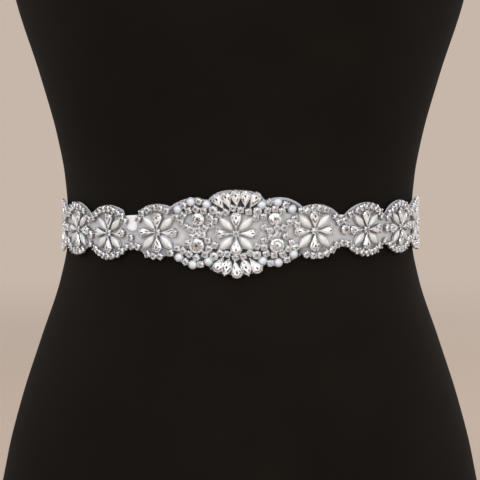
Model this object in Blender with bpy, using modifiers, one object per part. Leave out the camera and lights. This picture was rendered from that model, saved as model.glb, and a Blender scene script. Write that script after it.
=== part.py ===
"""A bridal sash on a limbless dress form, in metres, +Z up, the sash's front facing -Y.

The form is a loft through its own sections. The sash is laid out flat, in millimetres, as a
distance along the waist and a distance up from its middle line, and then wrapped round the form:
a ribbon all the way round, a scalloped backing on its front with the large stones raised in its
outer points, and the knot and the two ends at the back.
"""

import math
from collections import namedtuple

import bmesh
import bpy
import numpy as np
from mathutils import Vector
from mathutils.geometry import delaunay_2d_cdt

MM = 0.001
SHARP_ANGLE = math.radians(40.0)

Section = namedtuple("Section", "height half_width front_depth back_depth")
Rings = namedtuple("Rings", "lowest highest count")
Arch = namedtuple("Arch", "along base height half_length power")
RoundStone = namedtuple("RoundStone", "along up diameter")

# Dress form, metres. Heights are measured from the waist, which is WAIST_HEIGHT above the table.
WAIST_HEIGHT = 0.270
FORM_SECTIONS = (
    Section(-0.270, 0.1540, 0.1010, 0.1050),
    Section(-0.265, 0.1590, 0.1060, 0.1100),
    Section(-0.250, 0.1640, 0.1110, 0.1150),
    Section(-0.205, 0.1675, 0.1160, 0.1190),
    Section(-0.162, 0.1610, 0.1180, 0.1140),
    Section(-0.121, 0.1505, 0.1170, 0.1030),
    Section(-0.079, 0.1367, 0.1130, 0.0900),
    Section(-0.038, 0.1230, 0.1085, 0.0780),
    Section(-0.014, 0.1184, 0.1065, 0.0730),
    Section(0.006, 0.1178, 0.1060, 0.0720),
    Section(0.031, 0.1196, 0.1070, 0.0730),
    Section(0.059, 0.1247, 0.1090, 0.0770),
    Section(0.100, 0.1360, 0.1150, 0.0860),
    Section(0.155, 0.1530, 0.1220, 0.0980),
    Section(0.195, 0.1600, 0.1240, 0.1040),
    Section(0.240, 0.1605, 0.1170, 0.1070),
    Section(0.285, 0.1660, 0.1010, 0.1040),
    Section(0.320, 0.1740, 0.0850, 0.0960),
    Section(0.342, 0.1680, 0.0710, 0.0870),
    Section(0.360, 0.1420, 0.0640, 0.0770),
    Section(0.378, 0.1030, 0.0580, 0.0680),
    Section(0.396, 0.0700, 0.0530, 0.0600),
    Section(0.420, 0.0550, 0.0500, 0.0540),
    Section(0.462, 0.0520, 0.0490, 0.0490),
)
BUST_HEIGHT = 0.180
BUST_HALF_SPACING = 0.078
BUST_SPREAD = 0.056
BUST_RISE = 0.014
FORM_SEGMENTS = 60
FORM_RINGS = (
    Rings(-0.270, -0.264, 2),
    Rings(-0.252, -0.060, 9),
    Rings(-0.042, 0.042, 8),
    Rings(0.062, 0.285, 10),
    Rings(0.304, 0.396, 7),
    Rings(0.420, 0.462, 3),
)
CENTRING_SHIFT = 0.0074

# Neck cap, metres.
CAP_THICKNESS = 0.010
CAP_OVERHANG = 0.003
CAP_EDGE = 0.003
CAP_SEGMENTS = 40

# Ribbon, millimetres.
PIECE_GAP = 0.45
FORM_CLEARANCE = 0.70
RIBBON_WIDTH = 22.4
RIBBON_THICKNESS = 1.0
RIBBON_STATIONS = 72
RIBBON_ROWS = 5
GATHER_LENGTH = 42.0
GATHERED_WIDTH = 15.0
GATHER_RISE = 1.6
GATHER_FOLDS = 2

# Knot and ends, millimetres.
KNOT_HALF_WIDTH = 9.0
KNOT_HALF_DEPTH = 4.2
KNOT_HALF_HEIGHT = 11.5
KNOT_SQUARENESS = 0.62
KNOT_SEGMENTS = 28
KNOT_RINGS = 12
KNOT_FOLDS = 3
KNOT_FOLD_DEPTH = 0.07
TAIL_LENGTH = 185.0
TAIL_TOP_OFFSET = 7.6
TAIL_BOTTOM_OFFSET = 34.0
TAIL_TOP_WIDTH = 12.0
TAIL_SPREAD_SHARE = 0.22
TAIL_BEND = 0.85
TAIL_STATIONS = 24
TAIL_ROWS = 5
TAIL_WAVE = 2.6
TAIL_WAVES = 1.6
TAIL_WAVE_LEAN = 0.17
TAIL_SLANT = 11.0

# Backing, millimetres. Each arch of its scalloped edge stands on both sides of the middle.
BACKING_THICKNESS = 1.0
FAN_ARCH = Arch(0.0, 19.0, 8.9, 18.8, 3)
SHOULDER_ARCH = Arch(26.0, 2.2, 21.5, 21.5, 2)
LOBE_CENTRES = (50.2, 88.0, 122.5, 156.2)
LOBE_BASE = -4.4
LOBE_RADIUS = 22.9
END_RADIUS = LOBE_BASE + LOBE_RADIUS
EDGE_STEP = 3.8
FILL_STEP = 7.5
FILL_CLEARANCE = 2.0

# Large stones, millimetres: lengths come before widths.
PETAL_INNER = 2.6
DROP_SIZE = (10.8, 6.2)
SIDE_DROP_SIZE = (10.4, 5.4)
NAVETTE_SIZE = (11.2, 4.9)
FLOWER_CENTRE = 3.8
FAN_DROPS = 5
FAN_DROP_SIZE = (9.6, 5.7)
FAN_SPACING = 6.2
FAN_HEIGHT = 24.2
FAN_DIP = 0.5
FAN_LEAN = math.radians(17.0)
SHOULDER_PEARL = 5.0
SHOULDER_PEARL_ALONG = (18.0, 28.6, 37.8)
SHOULDER_PEARL_INSET = 3.2
COLUMN_ROUNDS = (RoundStone(25.6, 9.4, 7.6), RoundStone(26.2, -8.2, 9.0))
LINK_ROUND = 5.2
STONE_RISE = 2.6
STONE_SHOULDER_SCALE = 0.80
STONE_SHOULDER_RISE = 0.66


def clear_scene():
    """Removes whatever the file opened with."""
    for old in list(bpy.data.objects):
        bpy.data.objects.remove(old, do_unlink=True)


def material(name, colour, roughness):
    """A Principled material with one colour."""
    made = bpy.data.materials.new(name)
    made.use_nodes = True
    shader = made.node_tree.nodes["Principled BSDF"]
    shader.inputs["Base Color"].default_value = (*colour, 1.0)
    shader.inputs["Roughness"].default_value = roughness
    shader.inputs["Metallic"].default_value = 0.0
    return made


def add_object(name, mesh, finish, collection, parent):
    """Links a mesh as one named object of the part, shaded smooth up to its hard edges."""
    obj = bpy.data.objects.new(name, mesh)
    collection.objects.link(obj)
    mesh.materials.append(finish)
    obj.parent = parent
    mesh.shade_smooth()
    mesh.set_sharp_from_angle(angle=SHARP_ANGLE)
    return obj


def mesh_from(name, points, faces):
    """A mesh from points and faces."""
    mesh = bpy.data.meshes.new(name)
    mesh.from_pydata([tuple(p) for p in points], [], faces)
    mesh.update()
    return mesh


def eased(share):
    """A share from 0 to 1 that starts and ends gently."""
    share = min(max(share, 0.0), 1.0)
    return share * share * (3 - 2 * share)


class SmoothColumns:
    """Smooth curves through the columns of a table that never swing past its values."""

    def __init__(self, table):
        rows = np.array(table, float)
        self.x = rows[:, 0]
        self.y = rows[:, 1:]
        step = np.diff(self.x)[:, None]
        slope = np.diff(self.y, axis=0) / step
        turning = slope[:-1] * slope[1:] <= 0
        before = 2 * step[1:] + step[:-1]
        after = step[1:] + 2 * step[:-1]
        low = np.where(turning, 1.0, slope[:-1])
        high = np.where(turning, 1.0, slope[1:])
        mean = (before + after) / (before / low + after / high)
        self.tangent = np.vstack([slope[:1], np.where(turning, 0.0, mean), slope[-1:]])

    def at(self, x):
        """The columns' values at x."""
        x = min(max(x, self.x[0]), self.x[-1])
        k = int(np.searchsorted(self.x, x, side="right")) - 1
        k = min(max(k, 0), len(self.x) - 2)
        step = self.x[k + 1] - self.x[k]
        u = (x - self.x[k]) / step
        return (
            self.y[k] * (1 + 2 * u) * (1 - u) ** 2
            + self.tangent[k] * step * u * (1 - u) ** 2
            + self.y[k + 1] * u * u * (3 - 2 * u)
            + self.tangent[k + 1] * step * u * u * (u - 1)
        )


FORM = SmoothColumns(FORM_SECTIONS)


def form_point(turn, height):
    """The form's surface: turn is 0 at the front and grows towards +X, height is from the waist."""
    half_width, front, back = FORM.at(height)
    x = half_width * math.sin(turn)
    facing = math.cos(turn)
    y = -facing * (front if facing > 0 else back)
    if facing > 0:
        for side in (-1, 1):
            across = (x - side * BUST_HALF_SPACING) / BUST_SPREAD
            up = (height - BUST_HEIGHT) / BUST_SPREAD
            y -= BUST_RISE * facing * math.exp(-(across**2 + up**2) / 2)
    return Vector((x, y, WAIST_HEIGHT + height))


def form_normal(turn, height):
    """The outward normal of the form's surface."""
    step = 1e-4
    around = form_point(turn + step, height) - form_point(turn - step, height)
    up = form_point(turn, height + step) - form_point(turn, height - step)
    return around.cross(up).normalized()


def waist_measure(samples=4096):
    """Turns right round the waist, and the distance in millimetres from the front to each."""
    turns = np.linspace(-math.pi, math.pi, samples + 1)
    ring = np.array([form_point(turn, 0.0) for turn in turns])
    steps = np.linalg.norm(np.diff(ring, axis=0), axis=1)
    along = np.concatenate(([0.0], np.cumsum(steps))) / MM
    return turns, along - along[-1] / 2


WAIST_TURNS, WAIST_ALONG = waist_measure()
HALF_WAIST = float(WAIST_ALONG[-1])


def sash_point(along, up, lift):
    """A point of the flat layout, in millimetres, wrapped round the form and lifted off it."""
    along = (along + HALF_WAIST) % (2 * HALF_WAIST) - HALF_WAIST
    turn = float(np.interp(along, WAIST_ALONG, WAIST_TURNS))
    height = up * MM
    return form_point(turn, height) + form_normal(turn, height) * lift * MM


def grid_faces(columns, rows, closed):
    """Quads over a grid of points that are stored column by column."""
    faces = []
    for i in range(columns if closed else columns - 1):
        near, far = i * rows, (i + 1) % columns * rows
        faces += [(near + j, far + j, far + j + 1, near + j + 1) for j in range(rows - 1)]
    return faces


def add_cloth(name, place, columns, rows, closed, finish, collection, parent):
    """A strip of ribbon: place(i, j) gives its inner face, and Solidify its thickness."""
    points = [place(i, j) for i in range(columns) for j in range(rows)]
    mesh = mesh_from(name, points, grid_faces(columns, rows, closed))
    obj = add_object(name, mesh, finish, collection, parent)
    wall = obj.modifiers.new("thickness", "SOLIDIFY")
    wall.thickness = RIBBON_THICKNESS * MM
    wall.offset = 1.0
    return obj


def build_form(finish, collection, parent):
    """The torso: rings through the sections, closed flat below and above."""
    heights = [h for rings in FORM_RINGS for h in np.linspace(*rings)]
    turns = [2 * math.pi * i / FORM_SEGMENTS for i in range(FORM_SEGMENTS)]
    points = [form_point(turn, height) for turn in turns for height in heights]
    rows = len(heights)
    faces = grid_faces(FORM_SEGMENTS, rows, closed=True)
    faces.append([i * rows for i in reversed(range(FORM_SEGMENTS))])
    faces.append([i * rows + rows - 1 for i in range(FORM_SEGMENTS)])
    add_object("form_body", mesh_from("form_body", points, faces), finish, collection, parent)


def build_neck_cap(finish, collection, parent):
    """A plain oval cap with eased edges, lying just above the neck."""
    neck = FORM_SECTIONS[-1]
    work = bmesh.new()
    bmesh.ops.create_cone(
        work, cap_ends=True, segments=CAP_SEGMENTS, radius1=1.0, radius2=1.0, depth=1.0
    )
    size = (neck.half_width + CAP_OVERHANG, neck.front_depth + CAP_OVERHANG, CAP_THICKNESS)
    bmesh.ops.scale(work, vec=size, verts=work.verts)
    mesh = bpy.data.meshes.new("form_neck_cap")
    work.to_mesh(mesh)
    work.free()
    obj = add_object("form_neck_cap", mesh, finish, collection, parent)
    obj.location.z = WAIST_HEIGHT + neck.height + PIECE_GAP * MM + CAP_THICKNESS / 2
    edge = obj.modifiers.new("eased_edge", "BEVEL")
    edge.width = CAP_EDGE
    edge.segments = 2
    edge.limit_method = "ANGLE"


def gathered(along):
    """How far the ribbon is gathered at this place: 0 away from the knot, 1 at it."""
    return eased(1.0 - (HALF_WAIST - abs(along)) / GATHER_LENGTH)


def build_ribbon(finish, collection, parent):
    """The ribbon round the waist, drawn in and folded where it enters the knot."""

    def place(i, j):
        along = 2 * HALF_WAIST * i / RIBBON_STATIONS - HALF_WAIST
        across = j / (RIBBON_ROWS - 1)
        pull = gathered(along)
        width = RIBBON_WIDTH + (GATHERED_WIDTH - RIBBON_WIDTH) * pull
        fold = GATHER_RISE * pull * (0.5 - 0.5 * math.cos(2 * math.pi * GATHER_FOLDS * across))
        return sash_point(along, (across - 0.5) * width, FORM_CLEARANCE + fold)

    add_cloth(
        "ribbon_waist", place, RIBBON_STATIONS, RIBBON_ROWS, True, finish, collection, parent
    )


def build_knot(finish, collection, parent):
    """The knot: a sphere made blunt, creased lengthwise and wrapped over the ribbon's ends."""
    lift = FORM_CLEARANCE + RIBBON_THICKNESS + GATHER_RISE + PIECE_GAP + KNOT_HALF_DEPTH
    work = bmesh.new()
    bmesh.ops.create_uvsphere(
        work, u_segments=KNOT_SEGMENTS, v_segments=KNOT_RINGS, radius=1.0
    )
    for corner in work.verts:
        turn = math.atan2(corner.co.y, corner.co.x)
        crease = 1 - KNOT_FOLD_DEPTH * (0.5 + 0.5 * math.cos(2 * KNOT_FOLDS * turn))
        blunt = [math.copysign(abs(c) ** KNOT_SQUARENESS, c) for c in corner.co]
        towards_left = KNOT_HALF_WIDTH * crease * blunt[0]
        out = KNOT_HALF_DEPTH * crease * blunt[1]
        up = KNOT_HALF_HEIGHT * blunt[2]
        corner.co = sash_point(HALF_WAIST - towards_left, up, lift + out)
    mesh = bpy.data.meshes.new("ribbon_knot")
    work.to_mesh(mesh)
    work.free()
    add_object("ribbon_knot", mesh, finish, collection, parent)


def build_tail(name, side, finish, collection, parent):
    """One free end of the ribbon, hanging down the back of the form, cut on a slant."""

    def place(i, j):
        share = i / (TAIL_STATIONS - 1)
        across = side * (2 * j / (TAIL_ROWS - 1) - 1)
        spread = eased(share / TAIL_SPREAD_SHARE)
        width = TAIL_TOP_WIDTH + (RIBBON_WIDTH - TAIL_TOP_WIDTH) * spread
        middle = TAIL_TOP_OFFSET + (TAIL_BOTTOM_OFFSET - TAIL_TOP_OFFSET) * share**TAIL_BEND
        along = HALF_WAIST + side * (middle + across * width / 2)
        length = TAIL_LENGTH + across * TAIL_SLANT
        up = -KNOT_HALF_HEIGHT - PIECE_GAP - share * length
        settling = (1 - spread) * (RIBBON_THICKNESS + GATHER_RISE)
        fold = (1 - spread) * GATHER_RISE * (0.5 - 0.5 * math.cos(2 * math.pi * (across + 1)))
        ripple = 0.5 - 0.5 * math.cos(2 * math.pi * (TAIL_WAVES * share + TAIL_WAVE_LEAN * across))
        wave = TAIL_WAVE * spread * share * ripple
        return sash_point(along, up, FORM_CLEARANCE + settling + fold + wave)

    add_cloth(name, place, TAIL_STATIONS, TAIL_ROWS, False, finish, collection, parent)


def arches():
    """The arches of the backing's edge from the middle outwards."""
    lobes = [Arch(c, LOBE_BASE, LOBE_RADIUS, LOBE_RADIUS, 2) for c in LOBE_CENTRES]
    return [FAN_ARCH, SHOULDER_ARCH, *lobes]


def arch_height(arch, along):
    """The height of one arch, at a distance along on the right of the middle."""
    share = min(abs(along - arch.along) / arch.half_length, 1.0)
    return arch.base + arch.height * math.sqrt(1 - share**arch.power)


def notches():
    """Where each arch meets the next one."""
    found = []
    for inner, outer in zip(arches()[:-1], arches()[1:]):
        low, high = inner.along, outer.along
        while high - low > 1e-9:
            middle = (low + high) / 2
            if arch_height(inner, middle) > arch_height(outer, middle):
                low = middle
            else:
                high = middle
        found.append(low)
    return found


def half_height(along):
    """Half the backing's height at a distance along it."""
    beyond = abs(along) - LOBE_CENTRES[-1]
    if beyond > 0:
        return math.sqrt(max(0.0, END_RADIUS**2 - beyond**2))
    index = int(np.searchsorted(notches(), abs(along)))
    return arch_height(arches()[index], abs(along))


def backing_outline():
    """The backing's edge as a closed anticlockwise loop, with a point in every notch."""
    stops = [0.0, *notches(), LOBE_CENTRES[-1]]
    quarter = []
    for arch, low, high in zip(arches(), stops[:-1], stops[1:]):
        rise = arch_height(arch, low) - arch_height(arch, high)
        count = max(2, round(math.hypot(high - low, rise) / EDGE_STEP))
        places = [low + (high - low) * k / count for k in range(count)]
        quarter += [(along, arch_height(arch, along)) for along in places]
    end_steps = round(math.pi / 2 * END_RADIUS / EDGE_STEP)
    for k in range(end_steps):
        turn = math.pi / 2 * (1 - k / end_steps)
        along = LOBE_CENTRES[-1] + END_RADIUS * math.cos(turn)
        quarter.append((along, END_RADIUS * math.sin(turn)))
    tip = [(LOBE_CENTRES[-1] + END_RADIUS, 0.0)]
    right = quarter + tip + [(along, -up) for along, up in reversed(quarter)]
    left = [(-along, up) for along, up in reversed(right[1:-1])]
    return (right + left)[::-1]


def round_outline(diameter, corners=8):
    """A round stone seen from above."""
    turns = [2 * math.pi * k / corners for k in range(corners)]
    return [(diameter / 2 * math.cos(turn), diameter / 2 * math.sin(turn)) for turn in turns]


def navette_outline(length, width, side_steps=4):
    """A stone that is pointed at both ends, lying along +X."""
    shares = [2 * k / side_steps - 1 for k in range(side_steps)]
    lower = [(u * length / 2, -width / 2 * (1 - u * u)) for u in shares]
    return lower + [(-x, -y) for x, y in lower]


def drop_outline(length, width, round_corners=7):
    """A pear-shaped stone lying along +X, with its point at -X."""
    radius = width / 2
    centre = length / 2 - radius
    reach = math.pi - math.acos(radius / (centre + length / 2))
    turns = [reach * (2 * k / (round_corners - 1) - 1) for k in range(round_corners)]
    rim = [(centre + radius * math.cos(turn), radius * math.sin(turn)) for turn in turns]
    return [(-length / 2, 0.0), *rim]


def placed(outline, along, up, turn=0.0):
    """A stone's outline, turned and moved to its place in the layout."""
    c, s = math.cos(turn), math.sin(turn)
    return [(along + x * c - y * s, up + x * s + y * c) for x, y in outline]


def flower(along):
    """Eight petals round a small stone: crystal drops with pearl navettes between them."""
    stones = [placed(round_outline(FLOWER_CENTRE, 6), along, 0.0)]
    for k in range(8):
        turn = math.pi * k / 4
        if k % 2:
            length, width = NAVETTE_SIZE
            shape = navette_outline(length, width)
        else:
            length, width = DROP_SIZE if k % 4 == 2 else SIDE_DROP_SIZE
            shape = drop_outline(length, width)
        reach = PETAL_INNER + length / 2
        stones.append(placed(shape, along + reach * math.cos(turn), reach * math.sin(turn), turn))
    return stones


def fan(side):
    """Five stones spread above (side 1) or below (side -1) the middle flower."""
    length, width = FAN_DROP_SIZE
    back = (length - width) / 2
    stones = []
    for k in range(FAN_DROPS):
        step = k - FAN_DROPS // 2
        turn = math.pi / 2 - step * FAN_LEAN
        along = step * FAN_SPACING - back * math.cos(turn)
        up = FAN_HEIGHT - FAN_DIP * step**2 - back * math.sin(turn)
        pointed = side < 0 and k % 2 == 1
        shape = navette_outline(length, width) if pointed else drop_outline(length, width)
        stones.append(placed(shape, along, side * up, side * turn))
    return stones


def shoulder_pearls():
    """Where the half pearls stand along the right shoulder's upper edge."""
    row = SHOULDER_ARCH.height - SHOULDER_PEARL_INSET
    found = []
    for along in SHOULDER_PEARL_ALONG:
        rise = math.sqrt(row**2 - (along - SHOULDER_ARCH.along) ** 2)
        found.append((along, SHOULDER_ARCH.base + rise))
    return found


def large_stones():
    """The outlines of every large stone in the flat layout."""
    stones = flower(0.0) + fan(1) + fan(-1)
    for side in (-1, 1):
        for centre in LOBE_CENTRES:
            stones += flower(side * centre)
        for inner, outer in zip(LOBE_CENTRES[:-1], LOBE_CENTRES[1:]):
            stones.append(placed(round_outline(LINK_ROUND), side * (inner + outer) / 2, 0.0))
        for stone in COLUMN_ROUNDS:
            stones.append(placed(round_outline(stone.diameter, 10), side * stone.along, stone.up))
        for along, up in shoulder_pearls():
            stones.append(placed(round_outline(SHOULDER_PEARL), side * along, up))
            stones.append(placed(round_outline(SHOULDER_PEARL), side * along, -up))
    return stones


def point_inside(point, ring):
    """Whether a flat point is inside a convex anticlockwise ring."""
    for (ax, ay), (bx, by) in zip(ring, ring[1:] + ring[:1]):
        if (bx - ax) * (point[1] - ay) < (by - ay) * (point[0] - ax):
            return False
    return True


def fill_points(outline, stones):
    """Points spread over the plain cloth between the stones, so that it bends with the form."""
    taken = np.array([point for ring in [outline, *stones] for point in ring])
    reach = LOBE_CENTRES[-1] + END_RADIUS
    found = []
    for along in np.arange(-reach, reach, FILL_STEP):
        room = half_height(along) - FILL_CLEARANCE
        for up in np.arange(-3, 4) * FILL_STEP:
            near = np.hypot(taken[:, 0] - along, taken[:, 1] - up).min()
            covered = any(point_inside((along, up), ring) for ring in stones)
            if abs(up) < room and near > FILL_CLEARANCE and not covered:
                found.append((float(along), float(up)))
    return found


def loop_edges(start, count):
    """The edges of a closed loop of points."""
    return [(start + k, start + (k + 1) % count) for k in range(count)]


def flat_triangles(points, edges):
    """Triangles within the backing's edge that keep every given edge."""
    made = delaunay_2d_cdt([Vector(p) for p in points], edges, [], 0, 1e-5, True)
    corners, _, faces, origins = made[:4]
    if len(corners) != len(points):
        raise ValueError("two outlines of the flat layout cross")
    kept = []
    for face in faces:
        middle = sum((corners[v] for v in face), Vector((0.0, 0.0))) / len(face)
        if abs(middle.y) < half_height(middle.x):
            kept.append([origins[v][0] for v in face])
    return kept


def build_applique(finish, collection, parent):
    """The backing: a plain inner face, and an outer face that rises over each large stone."""
    inner_lift = FORM_CLEARANCE + RIBBON_THICKNESS + PIECE_GAP
    outer_lift = inner_lift + BACKING_THICKNESS
    outline = backing_outline()
    border = loop_edges(0, len(outline))
    stones = large_stones()
    flat = list(outline)
    rises = [0.0] * len(outline)
    edges = list(border)
    for ring in stones:
        middle = tuple(sum(point[k] for point in ring) / len(ring) for k in (0, 1))
        for scale, rise in ((1.0, 0.0), (STONE_SHOULDER_SCALE, STONE_SHOULDER_RISE)):
            edges += loop_edges(len(flat), len(ring))
            flat += [tuple(m + (p - m) * scale for p, m in zip(point, middle)) for point in ring]
            rises += [rise * STONE_RISE] * len(ring)
        flat.append(middle)
        rises.append(STONE_RISE)
    filling = fill_points(outline, stones)
    flat += filling
    rises += [0.0] * len(filling)
    points = [sash_point(along, up, outer_lift + rise) for (along, up), rise in zip(flat, rises)]
    faces = flat_triangles(flat, edges)
    start = len(points)
    plain = outline + fill_points(outline, [])
    points += [sash_point(along, up, inner_lift) for along, up in plain]
    faces += [[start + v for v in reversed(face)] for face in flat_triangles(plain, border)]
    faces += [(b, a, start + a, start + b) for a, b in border]
    add_object("applique", mesh_from("applique", points, faces), finish, collection, parent)


def main():
    """Builds the dress form and the sash on it."""
    clear_scene()
    collection = bpy.data.collections.new("bridal_sash_on_dress_form")
    bpy.context.scene.collection.children.link(collection)
    stand = bpy.data.objects.new("sash_and_form", None)
    stand.location.y = CENTRING_SHIFT
    collection.objects.link(stand)
    jersey = material("black_jersey", (0.010, 0.009, 0.008), 0.85)
    cap_finish = material("black_cap", (0.012, 0.011, 0.010), 0.55)
    satin = material("white_satin", (0.80, 0.79, 0.80), 0.35)
    organza = material("beaded_organza", (0.72, 0.72, 0.74), 0.30)
    build_form(jersey, collection, stand)
    build_neck_cap(cap_finish, collection, stand)
    build_ribbon(satin, collection, stand)
    build_knot(satin, collection, stand)
    build_tail("ribbon_tail_left", -1, satin, collection, stand)
    build_tail("ribbon_tail_right", 1, satin, collection, stand)
    build_applique(organza, collection, stand)


main()
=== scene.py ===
"""The looks of a beaded bridal sash on a black, limbless dress form.

The sash is laid out flat, in millimetres: along is the distance round the waist from the middle
of the front, growing towards the wearer's left, up is the distance above the sash's middle line,
and lift is the height over the form's surface. FormShape wraps that layout round the form, in
metres. Every sub-assembly is a class with its sizes as fields, and every finish is a class too.
"""

import logging
import math
import random
from dataclasses import dataclass, field
from enum import Enum
from typing import Callable, Iterable, Sequence

import bmesh
import bpy
import numpy as np
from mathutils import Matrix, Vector


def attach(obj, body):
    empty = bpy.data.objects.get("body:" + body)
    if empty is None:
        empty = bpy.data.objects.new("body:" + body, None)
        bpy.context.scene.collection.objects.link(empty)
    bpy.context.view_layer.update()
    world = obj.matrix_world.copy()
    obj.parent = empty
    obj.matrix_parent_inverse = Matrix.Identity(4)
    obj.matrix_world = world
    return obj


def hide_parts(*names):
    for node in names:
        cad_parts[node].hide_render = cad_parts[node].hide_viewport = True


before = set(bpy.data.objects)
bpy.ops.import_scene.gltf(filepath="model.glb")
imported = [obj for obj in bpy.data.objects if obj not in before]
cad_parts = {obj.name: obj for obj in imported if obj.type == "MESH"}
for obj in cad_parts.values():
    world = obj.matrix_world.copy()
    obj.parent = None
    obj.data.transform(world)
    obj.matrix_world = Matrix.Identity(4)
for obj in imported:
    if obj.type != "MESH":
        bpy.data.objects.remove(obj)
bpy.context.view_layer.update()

MM = 0.001
BODY = "root"
SHARP_ANGLE = math.radians(38.0)
# A wave texture's scale for bands that are one unit apart.
WAVE_BANDS = 0.314
ROUND_CLAWS = (0.125, 0.375, 0.625, 0.875)

log = logging.getLogger("bridal_sash")

Outline = np.ndarray
Face = tuple[int, ...]
Colour = tuple[float, float, float]
Socket = bpy.types.NodeSocket
Material = bpy.types.Material
Piece = bpy.types.Object


class Hold(Enum):
    LAID = "laid"
    FOLDED = "folded"
    HUNG = "hung"
    STRETCHED = "stretched"


class Cut(Enum):
    """The outline that a stone is cut to."""

    DROP = "drop"
    NAVETTE = "navette"
    ROUND = "round"


class Slot(Enum):
    """The record's material slots."""

    JERSEY = "jersey"
    CAP = "cap"
    SATIN = "satin"
    ORGANZA = "organza"
    CRYSTAL = "crystal"
    PEARL = "pearl"
    SILVER = "silver"


@dataclass(frozen=True)
class Section:
    """One level section of the dress form, in metres, its height measured from the waist."""

    height: float
    half_width: float
    front_depth: float
    back_depth: float


@dataclass(frozen=True)
class Arch:
    """One arch of the backing's scalloped edge, in millimetres of the flat layout."""

    along: float
    base: float
    height: float
    half_length: float
    power: float

    def height_at(self, along: np.ndarray) -> np.ndarray:
        """The arch's height over the middle line at the given places."""
        share = np.minimum(np.abs(along - self.along) / self.half_length, 1.0)
        return self.base + self.height * np.sqrt(1 - share**self.power)


@dataclass(frozen=True)
class Crease:
    """One soft ridge (rise above 0) or trough (below 0) of a cloth, in millimetres."""

    along: float
    up: float
    length: float
    width: float
    lean: float
    rise: float

    def lift_at(self, along: np.ndarray, up: np.ndarray) -> np.ndarray:
        """How far the crease moves the cloth at the given places.

        Args:
            along: Distances along the cloth.
            up: Distances across the cloth.

        Returns:
            The change of lift, one value for each place.
        """
        c, s = math.cos(self.lean), math.sin(self.lean)
        run = (along - self.along) * c + (up - self.up) * s
        off = (up - self.up) * c - (along - self.along) * s
        beyond = np.maximum(np.abs(run) - self.length / 2, 0.0)
        return self.rise * np.exp(-((off / self.width) ** 2) - (beyond / (2 * self.width)) ** 2)


@dataclass(frozen=True)
class Stone:
    """One stone at its place in the flat layout. Its length runs towards its turn."""

    cut: Cut
    along: float
    up: float
    length: float
    width: float
    turn: float = 0.0
    pearl: bool = False

    def heart(self) -> np.ndarray:
        """Where the stone's point shows through its top: in a drop's round end, else its middle."""
        back = (self.length - self.width) / 2 if self.cut is Cut.DROP else 0.0
        return np.array([self.along + back * math.cos(self.turn), self.up + back * math.sin(self.turn)])

    def outline(self, corners: int) -> Outline:
        """The stone's anticlockwise edge in the flat layout.

        Args:
            corners: Roughly how many points the edge has.

        Returns:
            An array of points, one row each.
        """
        half = self.length / 2
        if self.cut is Cut.ROUND:
            turns = 2 * np.pi * np.arange(corners) / corners
            ring = np.stack([half * np.cos(turns), half * np.sin(turns)], axis=1)
        elif self.cut is Cut.NAVETTE:
            share = 2 * np.arange(corners // 2) / (corners // 2) - 1
            lower = np.stack([share * half, -self.width / 2 * (1 - share**2)], axis=1)
            ring = np.vstack([lower, -lower])
        else:
            radius = self.width / 2
            centre = half - radius
            reach = math.pi - math.acos(radius / (centre + half))
            turns = np.linspace(-reach, reach, corners - 3)
            rim = np.stack([centre + radius * np.cos(turns), radius * np.sin(turns)], axis=1)
            tip = np.array([-half, 0.0])
            ring = np.vstack([(tip + rim[-1]) / 2, tip, (tip + rim[0]) / 2, rim])
        c, s = math.cos(self.turn), math.sin(self.turn)
        turned = ring @ np.array([[c, s], [-s, c]])
        return turned + np.array([self.along, self.up])


def eased(share: np.ndarray | float) -> np.ndarray | float:
    """A share from 0 to 1 that starts and ends gently."""
    share = np.clip(share, 0.0, 1.0)
    return share * share * (3 - 2 * share)


class SmoothColumns:
    """Smooth curves through the columns of a table that never swing past its values."""

    def __init__(self, places: Sequence[float], values: Sequence[Sequence[float]]) -> None:
        """Works out the slopes at the table's rows.

        Args:
            places: Where each row stands, growing.
            values: The values in each row.
        """
        self.x = np.array(places, float)
        self.y = np.array(values, float)
        step = np.diff(self.x)[:, None]
        slope = np.diff(self.y, axis=0) / step
        turning = slope[:-1] * slope[1:] <= 0
        before = 2 * step[1:] + step[:-1]
        after = step[1:] + 2 * step[:-1]
        low = np.where(turning, 1.0, slope[:-1])
        high = np.where(turning, 1.0, slope[1:])
        mean = (before + after) / (before / low + after / high)
        self.tangent = np.vstack([slope[:1], np.where(turning, 0.0, mean), slope[-1:]])

    def at(self, x: np.ndarray) -> np.ndarray:
        """The columns' values at each x, one row for each."""
        x = np.clip(np.asarray(x, float), self.x[0], self.x[-1])
        k = np.clip(np.searchsorted(self.x, x, side="right") - 1, 0, len(self.x) - 2)
        step = (self.x[k + 1] - self.x[k])[:, None]
        u = (x - self.x[k])[:, None] / step
        return (
            self.y[k] * (1 + 2 * u) * (1 - u) ** 2
            + self.tangent[k] * step * u * (1 - u) ** 2
            + self.y[k + 1] * u * u * (3 - 2 * u)
            + self.tangent[k + 1] * step * u * u * (u - 1)
        )


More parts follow.
